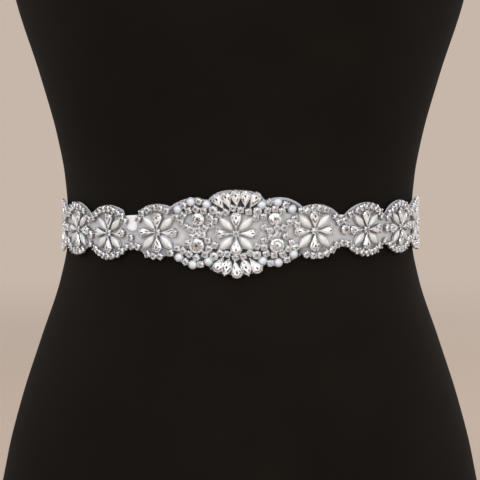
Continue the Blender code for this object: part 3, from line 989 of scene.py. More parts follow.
@dataclass
class Ribbon:
    """The satin ribbon: its run round the waist, the knot and the two ends. Millimetres."""

    shape: FormShape
    width: float = 22.0
    gathered_width: float = 15.0
    gather_length: float = 42.0
    gather_folds: int = 2
    gather_rise: float = 1.6
    pleat_depth: float = 0.12
    edge_drop: float = 0.35
    thickness: float = 0.5
    outer_lift: float = 1.55
    piece_gap: float = 0.45
    columns: int = 640
    rows: int = 25
    knot_half_width: float = 9.0
    knot_half_depth: float = 4.2
    knot_half_height: float = 11.5
    knot_squareness: float = 0.62
    knot_folds: int = 7
    knot_fold_depth: float = 0.17
    knot_columns: int = 96
    knot_rings: int = 64
    knot_seat: float = 1.7
    knot_wrinkles: int = 17
    knot_wrinkle_depth: float = 0.035
    knot_cut: tuple[float, float] = (0.022, 0.026)
    tail_length: float = 185.0
    tail_start: float = 5.5
    tail_start_lift: float = 6.2
    tail_drop_share: float = 0.17
    tail_top_offset: float = 4.6
    tail_bottom_offset: float = 34.0
    tail_top_width: float = 8.0
    tail_spread_share: float = 0.26
    tail_bend: float = 0.85
    tail_pleats: float = 1.5
    tail_pleat_depth: float = 1.5
    tail_pleat_share: float = 0.5
    tail_wave: float = 3.4
    tail_waves: float = 1.6
    tail_wave_lean: float = 0.30
    tail_slant: float = 11.0
    tail_columns: int = 170
    tail_rows: int = 19
    waist_creases: tuple[Crease, ...] = (
        Crease(-73.0, 3.0, 9.0, 2.2, 0.2, 0.25),
        Crease(74.0, 4.0, 7.0, 1.8, -0.3, 0.22),
        Crease(-214.0, -2.0, 34.0, 2.4, 0.16, 0.55),
        Crease(-232.0, 4.5, 22.0, 1.9, -0.10, -0.40),
        Crease(-268.0, -3.5, 42.0, 2.1, -0.07, 0.70),
        Crease(-283.0, 3.0, 26.0, 1.7, 0.09, -0.45),
        Crease(-300.0, 0.0, 30.0, 1.6, 0.03, 0.60),
        Crease(205.0, 3.0, 26.0, 2.2, -0.18, 0.45),
        Crease(241.0, -4.0, 37.0, 2.5, 0.12, 0.65),
        Crease(262.0, 4.0, 24.0, 1.8, 0.06, -0.42),
        Crease(287.0, -1.0, 35.0, 1.9, -0.05, 0.72),
        Crease(303.0, 4.2, 18.0, 1.5, 0.02, 0.45),
    )
    tail_creases: tuple[Crease, ...] = (
        Crease(0.16, -0.35, 0.20, 0.13, 0.35, 0.55),
        Crease(0.30, 0.30, 0.26, 0.12, -0.25, -0.45),
        Crease(0.52, -0.15, 0.30, 0.15, 0.20, 0.50),
        Crease(0.74, 0.40, 0.22, 0.14, -0.30, 0.40),
        Crease(0.88, -0.45, 0.14, 0.12, 0.10, -0.35),
    )

    def creased(self, along: np.ndarray, up: np.ndarray) -> np.ndarray:
        """The lift that the listed creases give the run round the waist."""
        return sum(crease.lift_at(along, up) for crease in self.waist_creases)

    def build_waist(self, finish: Material) -> Piece:
        """The run round the waist, drawn in where it enters the knot."""
        half = self.shape.half_waist
        places = np.linspace(-half, half, self.columns, endpoint=False)
        along, across = grid_pairs(places, np.linspace(-1, 1, self.rows))
        pull = eased(1.0 - (half - np.abs(along)) / self.gather_length)
        middle, flat_width = self.shape.ribbon.at(along).T
        width = flat_width + (self.gathered_width - flat_width) * pull
        up = middle + across * width / 2
        folds = 0.5 - 0.5 * np.cos(math.pi * self.gather_folds * (across + 1))
        pleats = self.pleat_depth * np.cos(9 * math.pi * across + along / 9.0)
        edge = -self.edge_drop * np.abs(across) ** 8
        lift = self.outer_lift + edge + self.creased(along, up) + pull * (self.gather_rise * folds + pleats)
        outer = np.stack([along, up, lift], axis=1)
        points, faces = shell(outer, self.columns, self.rows, True, self.thickness)
        heap = MeshHeap()
        heap.add(points, faces)
        ribbon = heap.build("ribbon_round_waist", self.shape.wrap)
        finish_piece(ribbon, finish, ["ribbon_waist"])
        return ribbon

    def blunt(self, share: np.ndarray) -> np.ndarray:
        """A sine or cosine pushed towards its ends, which squares the knot's outline."""
        return np.sign(share) * np.abs(share) ** self.knot_squareness

    def build_knot(self, finish: Material) -> Piece:
        """The knot: cloth pulled tight over itself, creased where it turns."""
        lift = self.knot_seat + self.gather_rise + self.piece_gap + self.knot_half_depth
        turns = np.linspace(0, 2 * math.pi, self.knot_columns, endpoint=False)
        tips = np.linspace(-math.pi / 2, math.pi / 2, self.knot_rings)
        turn, tip = grid_pairs(turns, tips)
        fold = 0.5 + 0.5 * np.cos(self.knot_folds * turn + 1.4 * np.sin(tip) + 0.5 * np.sin(2 * tip))
        crease = 1 - self.knot_fold_depth * fold**2
        wrinkle = 0.5 + 0.5 * np.cos(self.knot_wrinkles * turn + 1.3 * np.sin(3 * tip))
        crease -= self.knot_wrinkle_depth * wrinkle * np.cos(tip)
        left = self.knot_half_width * crease * self.blunt(np.cos(turn) * np.cos(tip))
        out = self.knot_half_depth * crease * self.blunt(np.sin(turn) * np.cos(tip))
        up = self.knot_half_height * self.blunt(np.sin(tip)) * (1 - 0.03 * np.cos(5 * turn))
        flat = np.stack([self.shape.half_waist - left, up, lift + out], axis=1)
        heap = MeshHeap()
        heap.add(flat, grid_faces(self.knot_columns, self.knot_rings, closed=True))
        knot = heap.build("ribbon_tied_knot", self.shape.wrap)
        merge = knot.modifiers.new("ends", "WELD")
        merge.merge_threshold = 0.00002
        finish_piece(knot, finish, ["ribbon_knot"])
        return knot

    def build_tail(self, side: int, finish: Material) -> Piece:
        """One free end of the ribbon, down the back of the form, cut on a slant.

        Args:
            side: -1 for the wearer's left end, 1 for the right one.
            finish: The satin.

        Returns:
            The piece.
        """
        word = "left" if side < 0 else "right"
        shares = np.linspace(0, 1, self.tail_columns)
        share, row = grid_pairs(shares, np.linspace(-1, 1, self.tail_rows))
        across = side * row
        spread = eased(share / self.tail_spread_share)
        width = self.tail_top_width + (self.width - self.tail_top_width) * spread
        reach = self.tail_bottom_offset - self.tail_top_offset
        middle = self.tail_top_offset + reach * share**self.tail_bend
        along = self.shape.half_waist + side * (middle + across * width / 2)
        length = self.tail_start + self.tail_length + across * self.tail_slant
        up = self.tail_start - self.knot_half_height - share * length
        settling = (1 - eased(share / self.tail_drop_share)) * (self.tail_start_lift - self.outer_lift)
        pleats = 0.5 - 0.5 * np.cos(2 * math.pi * self.tail_pleats * (across + 1) + 1.5 * share)
        fold = self.tail_pleat_depth * pleats * (1 - eased(share / self.tail_pleat_share))
        ripple = 0.5 - 0.5 * np.cos(2 * math.pi * (self.tail_waves * share + self.tail_wave_lean * across))
        wave = self.tail_wave * spread * share * ripple
        crease = sum(c.lift_at(share, across * 0.5) for c in self.tail_creases) * eased(share * 8)
        lift = self.outer_lift + settling + fold + wave + crease
        outer = np.stack([along, up, lift], axis=1)
        points, faces = shell(outer, self.tail_columns, self.tail_rows, False, self.thickness)
        layout = np.tile(np.stack([share * length, across * self.width / 2], axis=1), (2, 1))
        heap = MeshHeap()
        heap.add(points, faces, layout)
        tail = heap.build(f"ribbon_end_{word}", self.shape.wrap)
        finish_piece(tail, finish, [f"ribbon_tail_{word}"])
        return tail


@dataclass
class SashLayout:
    """Where the backing's edge and every stone lie in the flat layout. Millimetres."""

    fan_arch: Arch = Arch(0.0, 19.0, 8.9, 18.8, 3)
    shoulder_arch: Arch = Arch(26.0, 2.2, 21.5, 21.5, 2)
    lobe_centres: tuple[float, ...] = (50.2, 88.0, 122.5, 156.2)
    lobe_base: float = -4.4
    lobe_radius: float = 22.9
    petal_inner: float = 2.6
    drop_size: tuple[float, float] = (10.0, 6.1)
    middle_drop_size: tuple[float, float] = (10.8, 6.4)
    side_drop_size: tuple[float, float] = (10.4, 5.4)
    navette_size: tuple[float, float] = (11.2, 4.9)
    middle_navette_size: tuple[float, float] = (12.1, 5.2)
    middle_reach: float = 60.0
    flower_centre: float = 4.2
    fan_width: float = 6.2
    fan_stones: tuple[tuple[Cut, float, float, float, float], ...] = (
        (Cut.DROP, -11.9, 22.1, 124.0, 10.4), (Cut.DROP, -6.6, 23.6, 111.0, 10.8),
        (Cut.DROP, -0.4, 24.6, 96.0, 9.9), (Cut.DROP, 5.6, 24.2, 88.0, 9.9),
        (Cut.DROP, 12.0, 23.0, 60.0, 10.4), (Cut.DROP, -11.2, -21.3, -116.0, 10.4),
        (Cut.NAVETTE, -5.8, -21.4, -105.0, 10.6), (Cut.DROP, 0.4, -25.0, -80.0, 10.8),
        (Cut.NAVETTE, 5.8, -21.6, -72.0, 10.6), (Cut.DROP, 12.6, -22.2, -55.0, 10.6),
    )
    half_pearl: float = 5.4
    half_pearls: tuple[tuple[float, float], ...] = (
        (-18.4, 18.7), (-28.2, 20.1), (-36.8, 15.2), (-17.1, -17.8), (-26.9, -20.0), (-35.9, -15.5),
        (15.7, 18.1), (25.5, 19.4), (34.7, 14.5), (16.2, -17.7), (25.9, -19.2), (35.7, -14.4),
    )
    rounds: tuple[tuple[float, float, float], ...] = (
        (-23.8, 9.1, 7.8), (-24.5, -7.9, 9.0), (23.8, 8.9, 7.8), (25.1, -8.2, 8.8),
        (-14.2, 15.1, 5.0), (-13.7, -14.5, 4.9), (12.9, 14.1, 5.0), (12.5, -13.8, 4.9),
        (-69.9, -3.1, 4.5), (-105.2, -2.2, 4.9), (-139.4, 0.0, 5.0), (71.1, 0.6, 5.9),
        (107.9, 0.2, 4.9), (140.0, 0.0, 5.0),
    )
    flowers: tuple[float, ...] = (-156.2, -120.3, -87.6, -50.4, -0.2, 49.3, 87.8, 123.6, 156.3)
    chaton: float = 4.5
    chaton_pitch: float = 4.6
    chaton_inset: float = 2.2
    inner_side_inset: float = 1.0
    upper_insets: tuple[tuple[float, float], ...] = (
        (-150.0, 0.6), (-75.8, 0.4), (-74.0, 10.5), (-72.0, 10.0), (-69.2, 7.6), (-67.0, 9.6),
        (-65.6, 11.0), (-64.0, 0.4), (-42.0, 0.4), (-36.0, 1.3), (-20.0, 1.3), (-17.5, 2.0),
        (-12.0, 0.9), (-7.0, 0.4), (6.0, 0.4), (12.0, 1.0), (16.5, 2.0), (19.0, 1.4), (36.0, 1.6),
        (66.0, 1.5), (69.4, 1.8), (73.0, 1.1), (101.0, 0.8), (105.5, 2.0), (110.0, 0.7),
    )
    lower_insets: tuple[tuple[float, float], ...] = (
        (-110.0, 1.2), (-42.0, 0.9), (-36.0, 1.2), (-20.0, 1.2), (-15.0, -0.1), (14.0, -0.1),
        (19.0, 1.9), (37.0, 1.9), (44.0, 0.4), (58.0, 0.4), (72.0, 1.0), (110.0, 1.2),
    )
    most_inset: float = 1.6
    room_beside: float = 0.38
    room_between: float = 0.84
    overhang: float = 2.1
    bare_ribbon: tuple[float, float] = (-73.2, -66.0)
    chatons: tuple[tuple[float, float], ...] = (
        (-33.0, 17.9), (-23.2, 20.6), (-29.8, 14.5), (-25.1, 15.6), (-20.3, 14.6), (-10.6, 12.4),
        (-6.5, 13.6), (-38.1, 10.2), (-33.5, 11.4), (-34.9, 7.0), (-31.4, 3.9), (-16.6, 10.8),
        (-13.5, 8.3), (-15.9, 5.1), (-19.7, 3.2), (-27.8, 2.2), (-23.9, 2.4), (-31.6, -18.2),
        (-22.0, -19.7), (-37.1, -9.6), (-33.2, -11.2), (-29.2, -13.4), (-24.7, -15.4),
        (-19.3, -13.4), (-16.9, -9.9), (-10.0, -12.3), (-5.6, -13.0), (-0.5, -15.2), (-13.4, -7.3),
        (-17.6, -4.4), (-30.7, -6.2), (-28.4, -2.2), (-20.8, -0.8), (-24.7, -1.4), (20.5, 19.7),
        (30.4, 17.6), (28.4, 13.9), (23.8, 15.2), (19.2, 14.6), (7.5, 14.0), (2.6, 15.2),
        (-2.0, 16.3), (32.6, 11.2), (36.5, 8.6), (33.2, 6.2), (29.4, 3.0), (16.7, 10.6),
        (12.1, 9.9), (14.2, 6.8), (17.0, 3.6), (20.8, 1.5), (25.4, -1.4), (30.8, -2.6), (25.0, 2.8),
        (21.5, -2.9), (17.2, -4.6), (12.6, -8.3), (17.1, -9.0), (8.4, -12.4), (4.2, -14.4),
        (18.4, -13.2), (23.2, -14.3), (28.6, -14.0), (32.1, -10.7), (34.6, -6.8), (21.0, -19.4),
        (31.2, -17.6), (38.0, 4.6), (36.9, -10.0), (-68.8, -8.6), (69.2, -8.0), (-106.0, -8.6),
        (105.6, -8.4), (40.8, 13.6), (-41.5, -12.9), (70.9, 6.6), (75.2, 10.4),
    )

    def __post_init__(self) -> None:
        """Finds where the arches meet."""
        self.end_radius = self.lobe_base + self.lobe_radius
        lobes = [Arch(c, self.lobe_base, self.lobe_radius, self.lobe_radius, 2) for c in self.lobe_centres]
        self.arches = [self.fan_arch, self.shoulder_arch, *lobes]
        self.notches = [self.meeting(a, b) for a, b in zip(self.arches[:-1], self.arches[1:])]
        self.tip = self.lobe_centres[-1] + self.end_radius

    @staticmethod
    def meeting(inner: Arch, outer: Arch) -> float:
        """How far along two neighbouring arches have the same height."""
        low, high = inner.along, outer.along
        while high - low > 1e-9:
            middle = (low + high) / 2
            if inner.height_at(np.array(middle)) > outer.height_at(np.array(middle)):
                low = middle
            else:
                high = middle
        return low

    def half_height(self, along: np.ndarray) -> np.ndarray:
        """Half the backing's height at the given places."""
        place = np.abs(along)
        heights = np.stack([arch.height_at(place) for arch in self.arches])
        index = np.searchsorted(self.notches, place)
        picked = np.take_along_axis(heights, index[None, :], axis=0)[0]
        beyond = np.clip(place - self.lobe_centres[-1], 0.0, self.end_radius)
        rounded = np.sqrt(self.end_radius**2 - beyond**2)
        return np.where(place > self.lobe_centres[-1], rounded, picked)

    def inset(self, along: np.ndarray, way: int) -> np.ndarray:
        """How far inside the arches the stones end.

        Args:
            along: Places along the backing.
            way: 1 for its upper edge, -1 for its lower one.

        Returns:
            The distances, in millimetres.
        """
        table = np.array(self.upper_insets if way > 0 else self.lower_insets)
        return np.interp(along, table[:, 0], table[:, 1])

    def edge_height(self, along: np.ndarray, way: int) -> np.ndarray:
        """How far from the middle line the backing's edge lies.

        Args:
            along: Places along the backing.
            way: 1 for its upper edge, -1 for its lower one, which the stones overhang.

        Returns:
            The distances, in millimetres.
        """
        whole = self.half_height(along)
        cut = self.inset(along, way) + (self.overhang if way < 0 else 0.0)
        return np.maximum(whole - cut * np.minimum(whole / 6.0, 1.0), 0.05)

    def edge_places(self, step: float) -> np.ndarray:
        """Places along the backing, a step apart and closer near its round ends."""
        inner = self.lobe_centres[-1]
        count = int(2 * inner / step)
        middle = np.linspace(-inner, inner, count + 1)
        turns = np.linspace(0, math.pi / 2, int(self.end_radius * math.pi / 2 / step) + 1)[1:]
        end = inner + self.end_radius * np.sin(turns)
        stops = [n for notch in self.notches for n in (-notch, notch)]
        return np.unique(np.concatenate([-end, middle, end, stops]))

    def flower(self, along: float) -> list[Stone]:
        """Eight petals round a small stone: crystal drops with pearl navettes between them."""
        stones = [Stone(Cut.ROUND, along, 0.0, self.flower_centre, self.flower_centre)]
        for k in range(8):
            turn = math.pi * k / 4
            if k % 2:
                cut = Cut.NAVETTE
                near = abs(along) < self.middle_reach
                length, width = self.middle_navette_size if near else self.navette_size
            else:
                cut = Cut.DROP
                upright = self.drop_size if abs(along) > 1.0 else self.middle_drop_size
                length, width = upright if k % 4 == 2 else self.side_drop_size
            reach = self.petal_inner + length / 2
            x, y = along + reach * math.cos(turn), reach * math.sin(turn)
            stones.append(Stone(cut, x, y, length, width, turn, pearl=bool(k % 2)))
        return stones

    def fans(self) -> list[Stone]:
        """The stones spread above and below the middle flower, given by their round ends."""
        stones = []
        for cut, along, up, degrees, length in self.fan_stones:
            turn = math.radians(degrees)
            back = (length - self.fan_width) / 2 if cut is Cut.DROP else 0.0
            x, y = along - back * math.cos(turn), up - back * math.sin(turn)
            stones.append(Stone(cut, x, y, length, self.fan_width, turn))
        return stones

    def large_stones(self) -> list[Stone]:
        """Every large stone."""
        stones = self.fans()
        for along in self.flowers:
            stones += self.flower(along)
        size = self.half_pearl
        stones += [Stone(Cut.ROUND, x, y, size, size, pearl=True) for x, y in self.half_pearls]
        return stones + [Stone(Cut.ROUND, x, y, size, size) for x, y, size in self.rounds]

    def lobe_row(self, side: int, index: int, way: int) -> list[tuple[float, float]]:
        """The small stones along one lobe's edge.

        Args:
            side: 1 for the wearer's left, -1 for the right.
            index: The lobe, counted from the middle.
            way: 1 for its upper edge, where they draw in on the side nearer the middle; else -1.

        Returns:
            The stones' places.
        """
        centre = self.lobe_centres[index]
        radius = self.lobe_radius - self.chaton_inset
        edges = [self.notches[index + 1], self.notches[index + 2] if index < 3 else centre]
        low, high = (math.acos(max(-1.0, min(1.0, (e - centre) / radius))) for e in edges)
        margin = 0.5 * self.chaton_pitch / radius
        low -= margin
        high += margin if index < 3 else 0.0
        count = max(2, round((low - high) * radius / self.chaton_pitch) + 1)
        turns = [low + (high - low) * k / (count - 1) for k in range(count)]
        places = []
        for turn in turns:
            inner = max(0.0, -math.cos(turn)) if way > 0 else 0.0
            inset = float(self.inset(np.array(side * (centre + radius * math.cos(turn))), way))
            reach = radius - min(inset, self.most_inset) - self.inner_side_inset * eased(2.2 * inner)
            up = self.lobe_base + reach * math.sin(turn)
            places.append((side * (centre + reach * math.cos(turn)), way * up))
        return places

    def end_row(self) -> list[tuple[float, float]]:
        """The small stones round the backing's right end, below its middle line included."""
        radius = self.end_radius - self.chaton_inset
        count = round(math.pi * radius / self.chaton_pitch)
        turns = [math.pi / 2 - math.pi * k / count for k in range(1, count)]
        centre = self.lobe_centres[-1]
        return [(centre + radius * math.cos(t), radius * math.sin(t)) for t in turns]

    def small_stones(self, large: Sequence[Stone]) -> list[Stone]:
        """Every small stone that finds room beside the large ones and those before it.

        Args:
            large: The large stones.

        Returns:
            The small stones, in order.
        """
        wanted = list(self.chatons)
        for side in (-1, 1):
            for index in range(len(self.lobe_centres)):
                for way in (1, -1):
                    wanted += self.lobe_row(side, index, way)
            wanted += [(side * along, up) for along, up in self.end_row()]
        edges = np.vstack([stone.outline(40) for stone in large])
        kept: list[tuple[float, float]] = []
        for along, up in wanted:
            beside = np.hypot(edges[:, 0] - along, edges[:, 1] - up).min()
            near = min((math.hypot(along - a, up - u) for a, u in kept), default=9.0)
            bare = self.bare_ribbon[0] < along < self.bare_ribbon[1] and up > -1.0
            roomy = beside > self.room_beside * self.chaton and near > self.room_between * self.chaton
            if roomy and not bare:
                kept.append((along, up))
        draw = random.Random(7)
        size = self.chaton
        return [Stone(Cut.ROUND, a, u, size, size, draw.uniform(-0.7, 0.7)) for a, u in kept]


@dataclass
class Backing:
    """The stiff organza backing and its stitched edge. Millimetres."""

    shape: FormShape
    layout: SashLayout
    outer_lift: float = 2.80
    thickness: float = 0.80
    step: float = 1.0
    rows: int = 33
    pucker: float = 0.12
    hem_width: float = 2.6
    lobe_cover: float = 0.72
    lobes_start: float = 37.0
    lobes_ease: float = 6.0
    edge_radius: float = 0.20
    lower_edge_share: float = 0.40
    edge_sides: int = 8
    edge_step: float = 1.1
    stitch_pitch: float = 2.6
    stitch_radius: float = 0.13
    stitch_reach: float = 1.2

    def outline(self, step: float) -> np.ndarray:
        """The backing's edge as an anticlockwise loop."""
        places = self.layout.edge_places(step)
        upper = np.stack([places, self.layout.edge_height(places, 1)], axis=1)[::-1]
        lower = np.stack([places, -self.layout.edge_height(places, -1)], axis=1)
        return np.vstack([upper[:-1], lower[:-1]])

    def build_cloth(self, finish: Material) -> Piece:
        """The backing cut to its scalloped outline, puckered a little between the stones.

        Args:
            finish: The organza.

        Returns:
            The piece.
        """
        places = self.layout.edge_places(self.step)
        upper, lower = (np.maximum(self.layout.edge_height(places, way), 0.2) for way in (1, -1))
        along, row = grid_pairs(places, np.linspace(-1, 1, self.rows))
        up = row * np.where(row > 0, np.repeat(upper, self.rows), np.repeat(lower, self.rows))
        wander, swell = 1.1 * np.sin(up * 0.51), 0.4 * np.sin(along * 0.29)
        pucker = np.sin(along * 0.83 + wander) * np.cos(up * 0.67 + swell)
        lift = self.outer_lift + self.pucker * pucker
        outer = np.stack([along, up, lift], axis=1)
        points, faces = shell(outer, len(places), self.rows, False, self.thickness)
        heap = MeshHeap()
        heap.add(points, faces, tones=self.hem(points, faces))
        cloth = heap.build("organza_backing", self.shape.wrap)
        finish_piece(cloth, finish, ["applique"])
        return cloth

    def hem(self, points: np.ndarray, faces: Sequence[Face]) -> list[float]:
        """How far the organza is doubled at each face: at its turned hem and under the lobes.

        Args:
            points: The backing's points in the flat layout.
            faces: Its faces, all with four corners.

        Returns:
            One value from 0 to 1 for each face.
        """
        along, up, _ = points[np.array(faces)].mean(axis=1).T
        above, below = (self.layout.edge_height(along, way) for way in (1, -1))
        edge = np.where(up > 0, above, below)
        share = np.clip(1.0 - (edge - np.abs(up)) / self.hem_width, 0.0, 1.0)
        hem = eased(1.5 * share) * np.where(up > 0, 1.0, 0.0)
        middle, width = self.shape.ribbon.at(along).T
        off_ribbon = eased((np.abs(up - middle) - width / 2 + 0.6) / 1.2)
        past_shoulder = (np.abs(along) - self.lobes_start) / self.lobes_ease
        under_lobes = self.lobe_cover * eased(past_shoulder) * off_ribbon
        return list(np.maximum(hem * (0.25 + 0.75 * off_ribbon), under_lobes))

    def build_edge(self, finish: Material) -> Piece:
        """The rolled edge with its whipped stitches."""
        heap = MeshHeap()
        loop = self.outline(self.edge_step)
        middle = self.outer_lift - self.thickness / 2
        thin = self.lower_edge_share
        thickness = self.edge_radius * (thin + (1 - thin) * eased(loop[:, 1] / 6.0 + 0.5))
        self.add_rope(heap, np.column_stack([loop, np.full(len(loop), middle)]), thickness, True)
        steps = np.hypot(*(np.roll(loop, -1, axis=0) - loop).T)
        run = np.concatenate(([0.0], np.cumsum(steps)))
        closed = np.vstack([loop, loop[:1]])
        ahead = np.roll(loop, -1, axis=0) - np.roll(loop, 1, axis=0)
        outward = np.stack([ahead[:, 1], -ahead[:, 0]], axis=1) / np.hypot(*ahead.T)[:, None]
        outward = np.vstack([outward, outward[:1]])
        count = int(run[-1] / self.stitch_pitch)
        for k in range(count):
            at = run[-1] * k / count
            spot = np.array([np.interp(at, run, closed[:, c]) for c in (0, 1)])
            out = np.array([np.interp(at, run, outward[:, c]) for c in (0, 1)])
            side = np.array([-out[1], out[0]])
            path = []
            for share in np.linspace(0, 1, 6):
                turn = math.pi * share
                reach = self.edge_radius + 0.12
                rise = math.sin(turn)
                over = spot + out * (reach * rise - self.stitch_reach * share * (1 - rise))
                over = over + side * 0.5 * (share - 0.5)
                path.append((*over, middle - reach * math.cos(turn) + 0.25 * share))
            thread = np.full(len(path), self.stitch_radius)
            self.add_rope(heap, np.array(path), thread, False, sides=5)
        edge = heap.build("backing_whipped_edge", self.shape.wrap)
        return finish_piece(edge, finish)

    def add_rope(
        self,
        heap: MeshHeap,
        path: np.ndarray,
        radius: np.ndarray,
        closed: bool,
        sides: int | None = None,
    ) -> None:
        """Adds a round cord of thread along a path in the flat layout.

        Args:
            heap: Where the shape goes.
            path: The points that it follows.
            radius: Its radius at each point.
            closed: Whether the path's end meets its start.
            sides: How many sides its section has.
        """
        sides = sides or self.edge_sides
        if closed:
            ahead = np.roll(path, -1, axis=0) - np.roll(path, 1, axis=0)
        else:
            ahead = np.gradient(path, axis=0)
        ahead /= np.linalg.norm(ahead, axis=1)[:, None]
        aside = np.cross(ahead, [0.0, 0.0, 1.0])
        weak = np.linalg.norm(aside, axis=1) < 0.2
        aside[weak] = np.cross(ahead[weak], [0.3, 1.0, 0.0])
        aside /= np.linalg.norm(aside, axis=1)[:, None]
        over = np.cross(aside, ahead)
        turns = 2 * np.pi * np.arange(sides) / sides
        swing, climb = (part[None, :, None] for part in (np.cos(turns), np.sin(turns)))
        ring = swing * aside[:, None, :] + climb * over[:, None, :]
        points = (path[:, None, :] + radius[:, None, None] * ring).reshape(-1, 3)
        count = len(path)
        faces = tube_faces(count, sides, closed)
        if not closed:
            faces.append(tuple(range(sides))[::-1])
            faces.append(tuple((count - 1) * sides + j for j in range(sides)))
        heap.add(points, faces)


@dataclass
class Beadwork:
    """The crystals, the pearls and their silver settings, as joined meshes. Millimetres."""

    shape: FormShape
    layout: SashLayout
    seat: float = 2.70
    rise: float = 2.6
    small_rise: float = 2.0
    girdle: float = 0.56
    crystal_inset: float = 0.12
    pearl_inset: float = 0.15
    heart_share: float = 0.75
    most_tilt: float = 0.07
    small_stone: float = 4.6
    wide_stone: float = 6.0
    plain_stone: float = 8.2
    table_scale: float = 0.54
    point_scale: float = 0.20
    shoulder_scale: float = 0.80
    corners: int = 20
    small_corners: int = 8
    small_share: float = 0.86
    small_claw: float = 1.12
    rim_height: float = 0.58
    rim_width: float = 0.22
    base_width: float = 0.27
    claw_width: float = 0.90
    claw_thickness: float = 0.30

    def __post_init__(self) -> None:
        """Starts the heaps."""
        self.crystals = MeshHeap()
        self.pearls = MeshHeap()
        self.silver = MeshHeap()
        self.draw = random.Random(21)

    @staticmethod
    def offset(ring: Outline, distance: float) -> Outline:
        """An outline moved outward by a distance."""
        ahead = np.roll(ring, -1, axis=0) - np.roll(ring, 1, axis=0)
        out = np.stack([ahead[:, 1], -ahead[:, 0]], axis=1)
        return ring + distance * out / np.linalg.norm(out, axis=1)[:, None]

    def add_crystal(self, stone: Stone, corners: int, rise: float) -> None:
        """Cuts a stone: girdle, two rows of crown facets, and the pavilion seen through its table, each
        facet with a painted reflection.

        Args:
            stone: The stone.
            corners: How many sides it has.
            rise: Its height.
        """
        ring = self.offset(stone.outline(corners), -self.crystal_inset)
        middle = ring.mean(axis=0)
        heart = middle + self.heart_share * (stone.heart() - middle)
        between = (ring + np.roll(ring, -1, axis=0)) / 2
        tilt = np.array([self.draw.uniform(-self.most_tilt, self.most_tilt) for _ in range(2)])
        layers = (
            (ring, middle, 1.0, 0.10),
            (ring, middle, 1.0, self.girdle),
            (between, middle, self.shoulder_scale, 0.80),
            (ring, middle, self.table_scale, 0.97),
            (between, heart, self.point_scale, 1.0),
        )
        points = []
        for base, centre, scale, share in layers:
            flat = centre + (base - middle) * scale
            lift = self.seat + rise * share + (flat - middle) @ tilt * (share > self.girdle)
            points.append(np.column_stack([flat, lift]))
        n = len(ring)
        axis = np.array([math.cos(stone.turn), math.sin(stone.turn)])
        faces: list[Face] = []
        tones: list[float] = []
        for j in range(n):
            k = (j + 1) % n
            headward = float((ring[j] - middle) @ axis) / (stone.length / 2)
            faces.append((j, k, n + k, n + j))
            faces.append((n + j, n + k, 2 * n + j))
            faces.append((n + k, 2 * n + k, 2 * n + j))
            faces.append((2 * n + j, 2 * n + k, 3 * n + k))
            faces.append((2 * n + j, 3 * n + k, 3 * n + j))
            faces.append((3 * n + j, 3 * n + k, 4 * n + j))
            faces.append((3 * n + k, 4 * n + k, 4 * n + j))
            # Painted reflections: the girdle dark grey, then the facets over this side.
            tones += [0.15, *self.painted_facet_reflections(stone, j, headward)]
        faces.append(tuple(4 * n + j for j in range(n)))
        faces.append(tuple(range(n))[::-1])
        # Painted reflections: the small facet at the heart nearly black, the underside grey.
        tones += [0.05, 0.5]
        self.crystals.add(np.vstack(points), faces, tones=tones)

    def painted_facet_reflections(self, stone: Stone, side: int, headward: float) -> list[float]:
        """The painted reflections of the six facets over one side of a stone, bright to nearly black.

        Args:
            stone: The stone.
            side: The side's number.
            headward: Where the side lies, from -1 at a drop's tip to 1 at its round end.

        Returns:
            Two painted reflections each for the outer crown, the inner crown and the pavilion.
        """
        flash, glint = self.draw.random(), self.draw.random()
        odd = side % 2 == 1
        if stone.cut is Cut.DROP and headward > 0.15:
            outer = 0.62 if odd else 0.90
            inner = 0.38 if odd else 0.60
            pavilion = (0.95, 0.42) if odd else (0.55, 0.12)
        elif stone.cut is not Cut.ROUND:
            outer = 0.95 if flash > 0.28 else 0.42
            inner = 0.92 if flash > 0.42 else 0.30
            pavilion = (0.97, 0.92 if glint > 0.3 else 0.55)
        elif stone.length > self.plain_stone:
            outer = 0.92 if side % 3 else 0.50
            inner = 0.42 if odd else 0.60
            pavilion = (0.58, 0.45) if flash > 0.35 else (0.38, 0.58)
        elif stone.length > self.wide_stone:
            outer = 0.90 if flash > 0.4 else 0.35
            inner = 0.95 if glint > 0.55 else 0.40
            pavilion = (0.20, 0.60) if flash > 0.6 else (0.90, 0.35)
        else:
            outer = 0.95 if flash > 0.22 else 0.40
            inner = 0.46 if odd else 0.90
            pavilion = (0.45, 0.25) if odd else (0.40, 0.90 if flash > 0.5 else 0.10)
        return [outer, 0.95 if glint > 0.25 else 0.62, inner, inner, *pavilion]

    def add_pearl(self, stone: Stone, corners: int, steps: int = 7) -> None:
        """Raises a smooth dome over a stone's outline."""
        ring = self.offset(stone.outline(corners), -self.pearl_inset)
        middle = ring.mean(axis=0)
        height = self.rise * (0.95 if stone.cut is Cut.NAVETTE else 1.0)
        points = [np.column_stack([ring, np.full(len(ring), self.seat)])]
        for k in range(steps):
            turn = math.pi / 2 * k / steps
            flat = middle + (ring - middle) * math.cos(turn)
            lift = self.seat + height * (0.25 + 0.75 * math.sin(turn))
            points.append(np.column_stack([flat, np.full(len(ring), lift)]))
        points.append(np.array([[*middle, self.seat + height]]))
        n = len(ring)
        faces = [tuple(range(n))[::-1], *tube_faces(steps + 1, n)]
        top = (steps + 1) * n
        faces += [(steps * n + j, steps * n + (j + 1) % n, top) for j in range(n)]
        bluish = 1.0 if stone.cut is Cut.ROUND else 0.0
        self.pearls.add(np.vstack(points), faces, tones=[bluish] * len(faces))

